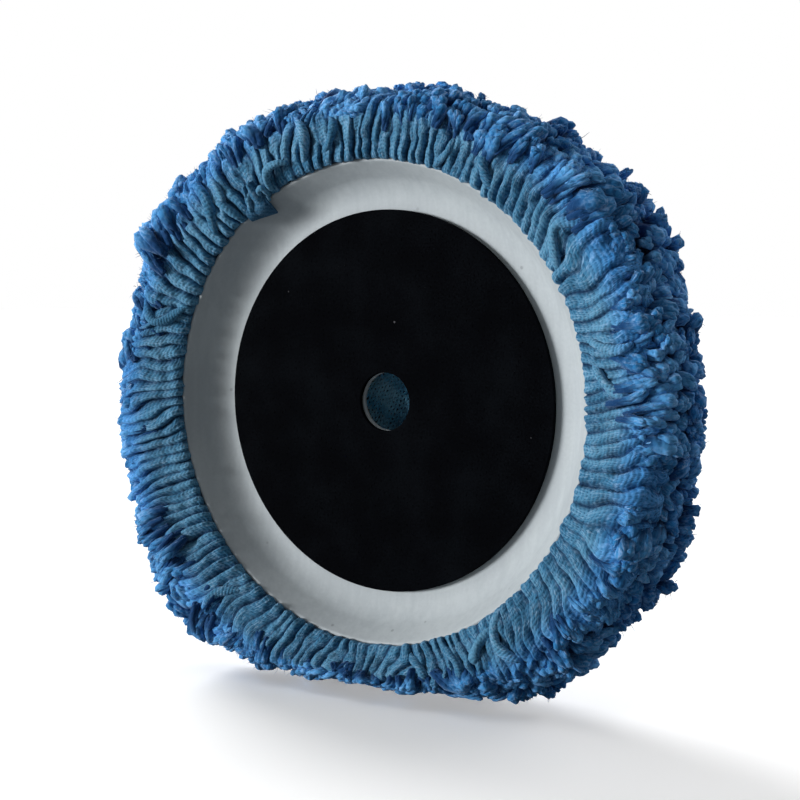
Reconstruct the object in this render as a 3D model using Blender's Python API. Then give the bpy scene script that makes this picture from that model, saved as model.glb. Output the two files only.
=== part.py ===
"""A recessed-back wool polishing pad, 9 inches across, for a rotary car polisher.

The pad hangs on the hook face of a polisher's backing plate. The origin is the centre of
its loop face, where the plate's axis meets it. +Y points out of the back, towards the
polisher, -Y points out of the wool face, and +Z is up. Everything is turned about the Y axis.
"""

import math

import bmesh
import bpy
from mathutils import Matrix, Vector

MM = 0.001
SEGMENTS = 48
CLEARANCE = 0.3 * MM

# Loop disc and the hole that centres the pad on the backing plate
LOOP_RADIUS = 67.0 * MM
LOOP_THICKNESS = 1.4 * MM
HOLE_RADIUS = 10.2 * MM
FILM_THICKNESS = 0.4 * MM

# Moulded backing dish: a flat floor, a hollow fillet, a sloped wall and a rounded lip
FLOOR_RADIUS = 69.5 * MM
FILLET_RADIUS = 11.0 * MM
WALL_SLOPE = math.radians(55.0)
LIP_RADIUS = 83.0 * MM
DISH_THICKNESS = 1.8 * MM

# Foam cushion inside the knitted cap
CUSHION_HOLE_RADIUS = 18.0 * MM
CUSHION_RADIUS = 88.5 * MM
CUSHION_THICKNESS = 9.0 * MM
CUSHION_EDGE_ROUND = 4.0 * MM
CUSHION_FLARE = 4.4 * MM
CUSHION_BEVEL = (6.0 * MM, 3.0 * MM)
FILM_MARGIN = 1.0 * MM

# Knitted cap that carries the wool
KNIT_RADIUS = 93.0 * MM
KNIT_THICKNESS = 1.3 * MM
KNIT_CORNER = 9.0 * MM
KNIT_SHOULDER = 5.0 * MM
KNIT_SHOULDER_Y = 3.0 * MM
KNIT_SHOULDER_TURN = math.radians(70.0)
HEM_RADIUS = 86.6 * MM
HEM_Y = 7.5 * MM

# Wool: the outer surface of the pile, as radius and height over the loop face
WOOL_RADIUS = 113.5 * MM
WOOL_WIDEST_Y = -3.0 * MM
FACE_CENTRE_Y = -37.0 * MM
FACE_FLAT_RADIUS = 42.0 * MM
FACE_DIMPLE_DEPTH = 3.0 * MM
FACE_DIMPLE_RADIUS = 20.0 * MM
SKIRT_CREST_RADIUS = 98.0 * MM
SKIRT_CREST_Y = 12.5 * MM
SKIRT_INNER_RADIUS = 87.0 * MM
SKIRT_INNER_Y = 8.5 * MM

# Cord that gathers the hem, and the tuck of fabric that lies over the lip
CORD_RADIUS = 1.1 * MM
CORD_RING_RADIUS = 84.7 * MM
CORD_Y = 3.9 * MM
TUCK_ANGLE = math.radians(56.0)
TUCK_WIDTH = 9.0 * MM
TUCK_THICKNESS = 0.9 * MM
TUCK_REACH = 4.5 * MM
TUCK_GAP = 0.6 * MM

# Heights worked out from the sizes above, in the order of the layers
FILM_TOP = -LOOP_THICKNESS - CLEARANCE
FLOOR_Y = FILM_TOP - FILM_THICKNESS - CLEARANCE
FLOOR_BOTTOM_Y = FLOOR_Y - DISH_THICKNESS
GLUE_TOP = FLOOR_BOTTOM_Y - CLEARANCE
CUSHION_TOP = GLUE_TOP - FILM_THICKNESS - CLEARANCE
CUSHION_BOTTOM = CUSHION_TOP - CUSHION_THICKNESS
FACE_GLUE_TOP = CUSHION_BOTTOM - CLEARANCE
KNIT_TOP = FACE_GLUE_TOP - FILM_THICKNESS - CLEARANCE

WOOL_BLUE = (0.07, 0.21, 0.45, 1.0)
KNIT_BLUE = (0.06, 0.16, 0.30, 1.0)
FOAM_GREY = (0.42, 0.45, 0.47, 1.0)
CUSHION_WHITE = (0.78, 0.78, 0.74, 1.0)
GLUE_AMBER = (0.62, 0.55, 0.38, 1.0)
LOOP_BLACK = (0.012, 0.013, 0.016, 1.0)


def clear_scene():
    """Remove every object that the scene opens with."""
    for obj in list(bpy.data.objects):
        bpy.data.objects.remove(obj)


def finish(obj, colour, roughness):
    """Give an object its own Principled material."""
    material = bpy.data.materials.new(obj.name)
    material.use_nodes = True
    shader = material.node_tree.nodes["Principled BSDF"]
    shader.inputs["Base Color"].default_value = colour
    shader.inputs["Roughness"].default_value = roughness
    shader.inputs["Metallic"].default_value = 0.0
    obj.data.materials.append(material)


def add_object(name, mesh_builder, colour, roughness):
    """Turn a bmesh into a named, smooth-shaded object at the origin."""
    bmesh.ops.recalc_face_normals(mesh_builder, faces=mesh_builder.faces)
    mesh = bpy.data.meshes.new(name)
    mesh_builder.to_mesh(mesh)
    mesh_builder.free()
    mesh.shade_smooth()
    mesh.set_sharp_from_angle(angle=math.radians(35.0))
    obj = bpy.data.objects.new(name, mesh)
    bpy.context.collection.objects.link(obj)
    finish(obj, colour, roughness)
    return obj


def arc(centre, radius, start, end, steps):
    """Points on an arc in the (radius, y) plane; angles run from +radius towards +y."""
    angles = [start + (end - start) * step / steps for step in range(steps + 1)]
    return [(centre[0] + radius * math.cos(a), centre[1] + radius * math.sin(a)) for a in angles]


def oval_arc(centre, width, height, start, end, steps):
    """Points on part of an ellipse, start and end in degrees from +radius towards +y."""
    points = []
    for step in range(steps + 1):
        angle = math.radians(start + (end - start) * step / steps)
        points.append((centre[0] + width * math.cos(angle), centre[1] + height * math.sin(angle)))
    return points


def turned(name, profile, colour, roughness, segments=SEGMENTS):
    """A solid turned about the Y axis from a closed outline of (radius, y) points."""
    builder = bmesh.new()
    corners = [builder.verts.new((radius, y, 0.0)) for radius, y in profile]
    on_axis = [radius < 1e-7 for radius, _ in profile]
    for index, corner in enumerate(corners):
        following = (index + 1) % len(corners)
        if not (on_axis[index] and on_axis[following]):
            builder.edges.new((corner, corners[following]))
    bmesh.ops.spin(
        builder, geom=list(builder.verts) + list(builder.edges), cent=(0, 0, 0), axis=(0, 1, 0),
        dvec=(0, 0, 0), angle=2 * math.pi, steps=segments, use_merge=True, use_duplicate=False,
    )
    bmesh.ops.remove_doubles(builder, verts=builder.verts, dist=1e-6)
    return add_object(name, builder, colour, roughness)


def flat_ring(name, inner, outer, top, thickness, colour, roughness):
    """A flat washer between two radii, with its upper face at top."""
    bottom = top - thickness
    profile = [(inner, top), (outer, top), (outer, bottom), (inner, bottom)]
    return turned(name, profile, colour, roughness)


def dish_surface():
    """The dish's hollow side from the edge of its floor to the foot of its lip."""
    centre = (FLOOR_RADIUS, FLOOR_Y + FILLET_RADIUS)
    fillet = arc(centre, FILLET_RADIUS, -math.pi / 2, -math.pi / 2 + WALL_SLOPE, 6)
    wall_foot_radius, wall_foot_y = fillet[-1]
    wall_top_y = wall_foot_y + (LIP_RADIUS - wall_foot_radius) * math.tan(WALL_SLOPE)
    return fillet + [(LIP_RADIUS, wall_top_y)]


def lip_round():
    """The rounded lip, from the wall's top over the crest to the outer side."""
    wall_top = dish_surface()[-1]
    half = DISH_THICKNESS / 2
    across = (math.sin(WALL_SLOPE), -math.cos(WALL_SLOPE))
    centre = (wall_top[0] + half * across[0], wall_top[1] + half * across[1])
    start = math.pi / 2 + WALL_SLOPE
    return arc(centre, half, start, start - math.pi, 6)


def dish_underside():
    """The dish's outer side, the hollow side moved out by the wall's thickness."""
    centre = (FLOOR_RADIUS, FLOOR_Y + FILLET_RADIUS)
    radius = FILLET_RADIUS + DISH_THICKNESS
    return arc(centre, radius, -math.pi / 2 + WALL_SLOPE, -math.pi / 2, 6)


def build_loop_layer():
    """Brushed loop fabric and the hot-melt film that bonds it to the dish."""
    loops = flat_ring("loop_disc", HOLE_RADIUS, LOOP_RADIUS, 0.0, LOOP_THICKNESS, LOOP_BLACK, 0.95)
    film = flat_ring(
        "loop_adhesive_film", HOLE_RADIUS + FILM_MARGIN, LOOP_RADIUS - FILM_MARGIN, FILM_TOP,
        FILM_THICKNESS, GLUE_AMBER, 0.4,
    )
    return loops, film


def build_backing_dish():
    """Moulded dish that the backing plate sits in."""
    profile = [(HOLE_RADIUS, FLOOR_Y)] + dish_surface()[:-1] + lip_round() + dish_underside()
    profile.append((HOLE_RADIUS, FLOOR_BOTTOM_Y))
    return turned("backing_dish", profile, FOAM_GREY, 0.6)


def build_cushion():
    """Foam cushion, and the glue over it and under it. Its big hole leaves the hub open."""
    flare_y = CUSHION_TOP + CUSHION_FLARE
    bevel_width, bevel_height = CUSHION_BEVEL
    profile = [
        (CUSHION_HOLE_RADIUS, CUSHION_TOP),
        (FLOOR_RADIUS + FILM_MARGIN, CUSHION_TOP),
        (CUSHION_RADIUS - bevel_width, flare_y),
        (CUSHION_RADIUS, flare_y - bevel_height),
        (CUSHION_RADIUS, CUSHION_BOTTOM + CUSHION_EDGE_ROUND),
    ]
    corner = (CUSHION_RADIUS - CUSHION_EDGE_ROUND, CUSHION_BOTTOM + CUSHION_EDGE_ROUND)
    profile += arc(corner, CUSHION_EDGE_ROUND, 0.0, -math.pi / 2, 4)[1:]
    profile.append((CUSHION_HOLE_RADIUS, CUSHION_BOTTOM))
    cushion = turned("foam_cushion", profile, CUSHION_WHITE, 0.9)
    dish_glue = flat_ring(
        "dish_adhesive_film", CUSHION_HOLE_RADIUS, FLOOR_RADIUS - FILM_MARGIN, GLUE_TOP,
        FILM_THICKNESS, GLUE_AMBER, 0.4,
    )
    face_glue = flat_ring(
        "cushion_adhesive_film", CUSHION_HOLE_RADIUS,
        CUSHION_RADIUS - CUSHION_EDGE_ROUND - FILM_MARGIN, FACE_GLUE_TOP, FILM_THICKNESS,
        GLUE_AMBER, 0.4,
    )
    return cushion, dish_glue, face_glue


def knit_face_path(offset):
    """The cap's outer side from the axis to the top of its side wall, moved out by an offset."""
    centre = (KNIT_RADIUS - KNIT_CORNER, KNIT_TOP - KNIT_THICKNESS + KNIT_CORNER)
    corner = arc(centre, KNIT_CORNER + offset, -math.pi / 2, 0.0, 5)
    return [(0.0, corner[0][1])] + corner


def knit_hem_path(offset):
    """The cap's outer side from the side wall over the shoulder, moved out by an offset."""
    centre = (KNIT_RADIUS - KNIT_SHOULDER, KNIT_SHOULDER_Y)
    return arc(centre, KNIT_SHOULDER + offset, 0.0, KNIT_SHOULDER_TURN, 4)


def build_knit():
    """Knitted cap: a closed face, a side wall, and a hem turned in behind the lip."""
    outer = knit_face_path(0.0) + knit_hem_path(0.0) + [(HEM_RADIUS, HEM_Y)]
    inner = knit_face_path(-KNIT_THICKNESS) + knit_hem_path(-KNIT_THICKNESS)
    inner.append((HEM_RADIUS, HEM_Y - KNIT_THICKNESS))
    return turned("knitted_backing", outer + inner[::-1], KNIT_BLUE, 0.95)


def face_outline():
    """The pile's tips on the working face, from the dimple out to the widest radius."""
    dimple = [
        (0.0, FACE_CENTRE_Y + FACE_DIMPLE_DEPTH),
        (FACE_DIMPLE_RADIUS / 2, FACE_CENTRE_Y + FACE_DIMPLE_DEPTH / 2),
        (FACE_DIMPLE_RADIUS, FACE_CENTRE_Y),
    ]
    width = WOOL_RADIUS - FACE_FLAT_RADIUS
    height = WOOL_WIDEST_Y - FACE_CENTRE_Y
    return dimple + oval_arc((FACE_FLAT_RADIUS, WOOL_WIDEST_Y), width, height, -90.0, 0.0, 8)


def build_wool_face():
    """Pile on the working face, down to the widest radius."""
    root = knit_face_path(CLEARANCE)
    corner = (KNIT_RADIUS + CLEARANCE, WOOL_WIDEST_Y)
    return turned("wool_face", face_outline() + [corner] + root[::-1], WOOL_BLUE, 0.9)


def build_wool_skirt():
    """Pile on the gathered skirt, from the widest radius to the lip."""
    foot_y = WOOL_WIDEST_Y + CLEARANCE
    crest = (SKIRT_CREST_RADIUS, foot_y)
    outside = oval_arc(crest, WOOL_RADIUS - SKIRT_CREST_RADIUS, SKIRT_CREST_Y - foot_y, 0.0, 90.0, 6)
    roll = (SKIRT_CREST_RADIUS, SKIRT_INNER_Y)
    inside = oval_arc(
        roll, SKIRT_CREST_RADIUS - SKIRT_INNER_RADIUS, SKIRT_CREST_Y - SKIRT_INNER_Y, 90.0, 180.0, 4,
    )[1:]
    root = knit_hem_path(CLEARANCE)[::-1]
    corner = (KNIT_RADIUS + CLEARANCE, foot_y)
    return turned("wool_skirt", outside + inside + root + [corner], WOOL_BLUE, 0.9)


def build_gather_cord():
    """Cord in the hem that pulls the knitted cap in under the lip."""
    section = arc((CORD_RING_RADIUS, CORD_Y), CORD_RADIUS, 0.0, -2 * math.pi, 8)[:-1]
    return turned("gather_cord", section, KNIT_BLUE, 0.8)


def tuck_side(height):
    """One side of the tuck at a height over the dish, from its tip on the wall over the lip."""
    lip = lip_round()
    centre = ((lip[0][0] + lip[-1][0]) / 2, (lip[0][1] + lip[-1][1]) / 2)
    start = math.pi / 2 + WALL_SLOPE
    over_lip = arc(centre, DISH_THICKNESS / 2 + height, start, 0.0, 5)
    tip_radius = over_lip[0][0] - TUCK_REACH * math.cos(WALL_SLOPE)
    tip_y = over_lip[0][1] - TUCK_REACH * math.sin(WALL_SLOPE)
    return [(tip_radius, tip_y)] + over_lip


def build_hem_tuck():
    """A loose tuck of the hem that folds over the lip and lies on the dish's wall."""
    outline = tuck_side(TUCK_GAP) + tuck_side(TUCK_GAP + TUCK_THICKNESS)[::-1]
    builder = bmesh.new()
    corners = [builder.verts.new((radius, y, -TUCK_WIDTH / 2)) for radius, y in outline]
    side = builder.faces.new(corners)
    grown = bmesh.ops.extrude_face_region(builder, geom=[side])
    moved = [item for item in grown["geom"] if isinstance(item, bmesh.types.BMVert)]
    bmesh.ops.translate(builder, verts=moved, vec=Vector((0.0, 0.0, TUCK_WIDTH)))
    turn = Matrix.Rotation(-TUCK_ANGLE, 3, "Y")
    bmesh.ops.rotate(builder, verts=builder.verts, cent=(0, 0, 0), matrix=turn)
    return add_object("hem_tuck", builder, WOOL_BLUE, 0.9)


def main():
    """Build the pad, back to front."""
    clear_scene()
    build_loop_layer()
    build_backing_dish()
    build_cushion()
    build_knit()
    build_wool_face()
    build_wool_skirt()
    build_gather_cord()
    build_hem_tuck()


main()
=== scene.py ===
"""The looks of a recessed wool polishing pad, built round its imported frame.

The pad's axis is Y: +Y points out of the back, -Y out of the wool face, and +Z is up. Lengths
are in metres and angles in radians. Angles round the pad run from +X towards +Z.
"""

import logging
import math
from dataclasses import dataclass
from enum import Enum
from typing import Any, Mapping, Optional, Sequence, Union

import bpy
import numpy as np
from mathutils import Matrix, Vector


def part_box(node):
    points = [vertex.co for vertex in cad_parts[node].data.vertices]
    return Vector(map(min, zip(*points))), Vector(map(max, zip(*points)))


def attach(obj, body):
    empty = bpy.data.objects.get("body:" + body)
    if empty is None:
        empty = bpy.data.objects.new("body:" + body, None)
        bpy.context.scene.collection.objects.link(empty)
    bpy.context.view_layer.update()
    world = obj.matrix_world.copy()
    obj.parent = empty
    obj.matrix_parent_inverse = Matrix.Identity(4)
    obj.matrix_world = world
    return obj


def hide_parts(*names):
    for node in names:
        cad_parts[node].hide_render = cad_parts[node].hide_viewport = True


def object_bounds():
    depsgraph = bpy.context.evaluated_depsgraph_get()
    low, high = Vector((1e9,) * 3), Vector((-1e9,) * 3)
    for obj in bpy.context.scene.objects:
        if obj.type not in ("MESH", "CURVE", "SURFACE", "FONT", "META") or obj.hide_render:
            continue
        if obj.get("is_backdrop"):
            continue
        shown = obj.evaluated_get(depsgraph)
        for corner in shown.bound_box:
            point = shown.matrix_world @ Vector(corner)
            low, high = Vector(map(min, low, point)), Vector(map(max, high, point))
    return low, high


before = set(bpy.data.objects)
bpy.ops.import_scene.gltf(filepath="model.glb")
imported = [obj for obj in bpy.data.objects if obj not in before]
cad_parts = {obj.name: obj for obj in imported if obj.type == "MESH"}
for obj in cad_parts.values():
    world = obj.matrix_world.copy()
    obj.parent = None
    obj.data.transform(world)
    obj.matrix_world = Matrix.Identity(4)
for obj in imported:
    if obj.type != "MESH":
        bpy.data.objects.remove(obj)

MM = 0.001
TURN = 2.0 * math.pi
GOLDEN_ANGLE = math.pi * (3.0 - math.sqrt(5.0))
AXIS = np.array([0.0, 1.0, 0.0])
OFF_AXIS = 1.0 - AXIS
BODY = "root"
Colour = tuple[float, float, float]
LOG = logging.getLogger("polishing_pad")


# ---------------------------------------------------------------- shader maths


class Wire:
    """A socket of a material. Arithmetic on a value socket adds Math nodes."""

    def __init__(self, bench: "Bench", socket: bpy.types.NodeSocket) -> None:
        """Keep the socket and the bench that its nodes are made on."""
        self.bench = bench
        self.socket = socket

    def _join(self, operation: str, first: "Signal", second: "Signal") -> "Wire":
        """Add one Math node.

        Args:
            operation: The Math node's operation.
            first: Its first value.
            second: Its second value.

        Returns:
            The node's value.
        """
        return self.bench.node("ShaderNodeMath", {"operation": operation}, {0: first, 1: second})

    def __add__(self, other: "Signal") -> "Wire":
        """This value plus another."""
        return self._join("ADD", self, other)

    def __radd__(self, other: "Signal") -> "Wire":
        """Another value plus this one."""
        return self._join("ADD", other, self)

    def __sub__(self, other: "Signal") -> "Wire":
        """This value minus another."""
        return self._join("SUBTRACT", self, other)

    def __rsub__(self, other: "Signal") -> "Wire":
        """Another value minus this one."""
        return self._join("SUBTRACT", other, self)

    def __mul__(self, other: "Signal") -> "Wire":
        """This value times another."""
        return self._join("MULTIPLY", self, other)

    def __rmul__(self, other: "Signal") -> "Wire":
        """Another value times this one."""
        return self._join("MULTIPLY", other, self)

    def __truediv__(self, other: "Signal") -> "Wire":
        """This value divided by another."""
        return self._join("DIVIDE", self, other)

    def __pow__(self, other: "Signal") -> "Wire":
        """This value to a power."""
        return self._join("POWER", self, other)


Signal = Union[float, int, Wire, Sequence[float]]


class Bench:
    """A new material and the nodes that are put on it."""

    def __init__(self, name: str) -> None:
        """Open a material with only its Principled shader and output.

        Args:
            name: The material's name.
        """
        self.material = bpy.data.materials.new(name)
        self.material.use_nodes = True
        self.tree = self.material.node_tree
        self.shader = self.tree.nodes["Principled BSDF"]

    def node(
        self,
        kind: str,
        settings: Optional[Mapping[str, Any]] = None,
        inputs: Optional[Mapping[Union[int, str], Signal]] = None,
        output: Union[int, str] = 0,
    ) -> Wire:
        """Add a node, set it, and then fill or link its sockets.

        Args:
            kind: The node's type.
            settings: Its properties; "stops" holds a ramp's pairs of place and colour.
            inputs: Values or wires for its sockets, by name or number.
            output: The output socket to return.

        Returns:
            The wire from that output.
        """
        made = self.tree.nodes.new(kind)
        for key, value in (settings or {}).items():
            if key == "stops":
                self._set_stops(made.color_ramp, value)
            else:
                setattr(made, key, value)
        for key, value in (inputs or {}).items():
            self.feed(made.inputs[key], value)
        return Wire(self, made.outputs[output])

    def _set_stops(self, ramp: bpy.types.ColorRamp, stops: Sequence[tuple[float, Colour]]) -> None:
        """Put a ramp's stops at their places.

        Args:
            ramp: The ramp, with the two stops that it starts with.
            stops: Pairs of place and colour, from low to high.
        """
        while len(ramp.elements) < len(stops):
            ramp.elements.new(1.0)
        for element, (place, colour) in zip(ramp.elements, stops):
            element.position = place
            element.color = (*colour, 1.0)

    def feed(self, socket: bpy.types.NodeSocket, value: Signal) -> None:
        """Link a wire to a socket, or set the socket's own value.

        Args:
            socket: The input socket.
            value: A wire, a number, a colour or a vector.
        """
        if isinstance(value, Wire):
            self.tree.links.new(value.socket, socket)
        elif isinstance(value, (int, float)):
            socket.default_value = value
        else:
            size = len(socket.default_value)
            socket.default_value = (*value, 1.0)[:size]

    def place(self) -> Wire:
        """Object coordinates, in metres."""
        return self.node("ShaderNodeTexCoord", output="Object")

    def read(self, name: str, output: str = "Vector") -> Wire:
        """One of the piece's own attributes."""
        return self.node("ShaderNodeAttribute", {"attribute_name": name}, output=output)

    def split(self, vector: Wire) -> tuple[Wire, Wire, Wire]:
        """Take a vector apart.

        Args:
            vector: The vector's wire.

        Returns:
            Its three components.
        """
        parts = self.node("ShaderNodeSeparateXYZ", inputs={0: vector})
        sockets = parts.socket.node.outputs
        return Wire(self, sockets[0]), Wire(self, sockets[1]), Wire(self, sockets[2])

    def stretch(self, vector: Wire, factors: Sequence[float]) -> Wire:
        """A vector with each component multiplied by its factor."""
        return self.node("ShaderNodeVectorMath", {"operation": "MULTIPLY"}, {0: vector, 1: factors})

    def noise(self, vector: Wire, scale: float, detail: float = 2.0, rough: float = 0.5) -> Wire:
        """Soft noise from 0 to 1.

        Args:
            vector: Where it is read.
            scale: Lumps per unit of the vector.
            detail: Octaves.
            rough: How strong the finer octaves are.

        Returns:
            The noise's value.
        """
        sockets = {"Vector": vector, "Scale": scale, "Detail": detail, "Roughness": rough}
        return self.node("ShaderNodeTexNoise", inputs=sockets)

    def ease(self, value: Wire, low: float, high: float) -> Wire:
        """A smooth step from 0 at low to 1 at high."""
        settings = {"interpolation_type": "SMOOTHSTEP"}
        return self.node("ShaderNodeMapRange", settings, {"Value": value, 1: low, 2: high})

    def mix(self, factor: Signal, first: Signal, second: Signal, blend: str = "MIX") -> Wire:
        """Mix two colours.

        Args:
            factor: Share of the second colour.
            first: First colour.
            second: Second colour.
            blend: The Mix node's blend type.

        Returns:
            The mixed colour.
        """
        settings = {"data_type": "RGBA", "blend_type": blend, "clamp_factor": True}
        return self.node("ShaderNodeMix", settings, {0: factor, 6: first, 7: second}, output=2)

    def bump(self, height: Wire, distance: float, strength: float = 1.0) -> Wire:
        """A normal that rises with a height.

        Args:
            height: The height, from 0 to 1.
            distance: What a height of 1 stands for, in metres.
            strength: Share of the effect.

        Returns:
            The normal.
        """
        sockets = {"Height": height, "Distance": distance, "Strength": strength}
        return self.node("ShaderNodeBump", inputs=sockets)

    def dress(self, **sockets: Signal) -> bpy.types.Material:
        """Fill the shader's sockets; an underscore in a name stands for a space.

        Args:
            **sockets: Values or wires by the sockets' names.

        Returns:
            The finished material.
        """
        for name, value in sockets.items():
            self.feed(self.shader.inputs[name.replace("_", " ")], value)
        return self.material


# ---------------------------------------------------------------- finishes


class Wear(Enum):
    """Which wool a finish stands for."""

    PILE = "wool_pile"
    ROPE = "wool_rope"
    ROLL = "wool_roll"
    BED = "wool_bed"
    FUZZ = "wool_fuzz"
    YARN = "knit_yarn"


@dataclass(frozen=True)
class WoolFinish:
    """Dyed wool with fine twisted fibres, paler and drier at the tip, and darker at the root and in the
    grooves of fibres and plies as painted shade.

    Between two distances from the pad's axis, the colour is multiplied by that of the rim.
    """

    wear: Wear
    # root: painted shade, the colour the wool darkens to at the locks' roots and in its grooves
    root: Colour
    body: Colour
    tip: Colour
    pale: Colour
    fibre_depth: float = 0.38 * MM
    plies: float = 2.0
    ply_pitch: float = 2.6
    ply_depth: float = 0.4
    stitch: float = 0.0
    fibre_scale: float = 1.9
    shade_from: float = 0.15
    sheen: float = 0.35
    rim: Colour = (1.0, 1.0, 1.0)
    rim_from: float = 95.0 * MM
    rim_to: float = 108.0 * MM

    def material(self) -> bpy.types.Material:
        """Build the material from the "grain" and "lock" attributes of the piece.

        Returns:
            The material.
        """
        bench = Bench(self.wear.value)
        rise, tone, dry = bench.split(bench.read("lock"))
        grain = bench.read("grain")
        across, up, length = bench.split(grain)
        around = bench.node("ShaderNodeMath", {"operation": "ARCTAN2"}, {0: across, 1: up})
        chevron = self.stitch * bench.node("ShaderNodeMath", {"operation": "SINE"}, {0: around})
        wound = self.plies * around + length * (TURN / self.ply_pitch) + chevron
        ply = 0.5 + 0.5 * bench.node("ShaderNodeMath", {"operation": "SINE"}, {0: wound})
        fibres = bench.noise(bench.stretch(grain, (1.0, 1.0, 0.30)), self.fibre_scale, 4.0, 0.65)
        flecks = bench.noise(grain, 1.1, 2.0)
        patches = bench.noise(bench.place(), 38.0, 2.0)
        # Painted shade: the colour darkens to the root colour towards each lock's root, where the gaps
        # between tufts lie.
        along = bench.ease(rise, self.shade_from, 1.0)
        colour = bench.mix(along, self.root, self.body)
        colour = bench.mix(bench.ease(tone + 0.5 * patches, 0.45, 1.15) * along, colour, self.tip)
        streak = bench.ease(fibres + 0.35 * flecks, 0.62, 0.92)
        colour = bench.mix(streak * (0.30 + 0.7 * dry) * along, colour, self.pale)
        # Painted shade in the grooves between fibres and plies.
        shadow = bench.ease(fibres + 0.22 * ply, 0.60, 0.36)
        colour = bench.mix(shadow * 0.62, colour, self.root)
        right, _, over = bench.split(bench.place())
        at_rim = bench.ease((right * right + over * over) ** 0.5, self.rim_from, self.rim_to)
        colour = bench.mix(at_rim, colour, self.rim, "MULTIPLY")
        relief = bench.bump(fibres + 0.3 * flecks + self.ply_depth * ply, self.fibre_depth, 1.0)
        return bench.dress(
            Base_Color=colour,
            Roughness=0.86 - 0.12 * streak,
            Normal=relief,
            Sheen_Weight=self.sheen,
            Sheen_Roughness=0.45,
            Sheen_Tint=self.pale,
            Specular_IOR_Level=0.18,
        )


@dataclass(frozen=True)
class KnitFinish:
    """Knitted ground cloth: rows of small stitches in a dark dye."""

    name: str = "knit_ground"
    dark: Colour = (0.006, 0.022, 0.060)
    thread: Colour = (0.050, 0.120, 0.215)
    rows_per_metre: float = 620.0

    def material(self) -> bpy.types.Material:
        """Build the material from object coordinates.

        Returns:
            The material.
        """
        bench = Bench(self.name)
        place = bench.place()
        x, _, z = bench.split(place)
        wales = bench.node("ShaderNodeMath", {"operation": "SINE"}, {0: x * (self.rows_per_metre * TURN)})
        rows = bench.node(
            "ShaderNodeMath", {"operation": "SINE"},
            {0: z * (self.rows_per_metre * 0.8 * TURN) + 1.6 * wales},
        )
        worn = bench.noise(place, 260.0, 3.0)
        stitch = 0.5 + 0.25 * wales + 0.25 * rows
        colour = bench.mix(bench.ease(stitch + 0.6 * (worn - 0.5), 0.25, 0.85), self.dark, self.thread)
        return bench.dress(
            Base_Color=colour,
            Roughness=0.9,
            Normal=bench.bump(stitch, 0.35 * MM),
            Sheen_Weight=0.15,
            Specular_IOR_Level=0.15,
        )


@dataclass(frozen=True)
class MouldedFoamFinish:
    """Grey self-skinned foam: smooth and dull, with faint mould streaks and a few pores darkened as painted
    shade in their pits.
    """

    name: str = "moulded_grey_foam"
    skin: Colour = (0.455, 0.500, 0.520)
    shade: Colour = (0.385, 0.425, 0.450)
    # pore: painted shade inside the pores
    pore: Colour = (0.130, 0.140, 0.150)

    def material(self) -> bpy.types.Material:
        """Build the material from object coordinates.

        Returns:
            The material.
        """
        bench = Bench(self.name)
        place = bench.place()
        cloud = bench.noise(place, 26.0, 3.0)
        streaks = bench.noise(bench.stretch(place, (420.0, 420.0, 16.0)), 1.0, 2.0)
        mottle = bench.noise(place, 900.0, 2.0)
        cells = bench.node(
            "ShaderNodeTexVoronoi", {"feature": "F1"}, {"Vector": place, "Scale": 170.0}
        )
        chosen = bench.node(
            "ShaderNodeTexVoronoi", {"feature": "F1"}, {"Vector": place, "Scale": 170.0}, "Color"
        )
        rare, _, _ = bench.split(chosen)
        pores = bench.ease(cells, 0.14, 0.07) * bench.ease(rare, 0.90, 0.93)
        tone = bench.ease(0.5 * cloud + 0.3 * streaks + 0.2 * mottle, 0.36, 0.66)
        colour = bench.mix(tone, self.shade, self.skin)
        # Painted shade: the pores are darkened to the pore colour inside their pits.
        colour = bench.mix(pores * 0.40, colour, self.pore)
        height = 0.25 * mottle + 0.2 * streaks - 0.5 * pores
        return bench.dress(
            Base_Color=colour,
            Roughness=0.60 + 0.12 * mottle,
            Normal=bench.bump(height, 0.16 * MM, 0.6),
            Specular_IOR_Level=0.35,
        )


@dataclass(frozen=True)
class LoopFabricFinish:
    """Black brushed loops, with a little lint caught in them."""

    name: str = "black_brushed_loops"
    black: Colour = (0.0008, 0.0010, 0.0017)
    worn: Colour = (0.0026, 0.0034, 0.0048)
    lint: Colour = (0.100, 0.100, 0.110)

    def material(self) -> bpy.types.Material:
        """Build the material from object coordinates.

        Returns:
            The material.
        """
        bench = Bench(self.name)
        place = bench.place()
        nap = bench.noise(place, 1500.0, 2.0)
        rubbed = bench.noise(place, 55.0, 3.0)
        specks = bench.node(
            "ShaderNodeTexVoronoi", {"feature": "F1"}, {"Vector": place, "Scale": 240.0}
        )
        chosen = bench.node(
            "ShaderNodeTexVoronoi", {"feature": "F1"}, {"Vector": place, "Scale": 240.0}, "Color"
        )
        rare, _, _ = bench.split(chosen)
        lint = bench.ease(specks, 0.13, 0.08) * bench.ease(rare, 0.984, 0.988)
        colour = bench.mix(bench.ease(0.5 * nap + 0.5 * rubbed, 0.42, 0.66), self.black, self.worn)
        colour = bench.mix(lint * 0.8, colour, self.lint)
        return bench.dress(
            Base_Color=colour,
            Roughness=0.92 + 0.06 * nap,
            Normal=bench.bump(nap, 0.18 * MM, 0.7),
            Specular_IOR_Level=0.03,
        )


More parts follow.
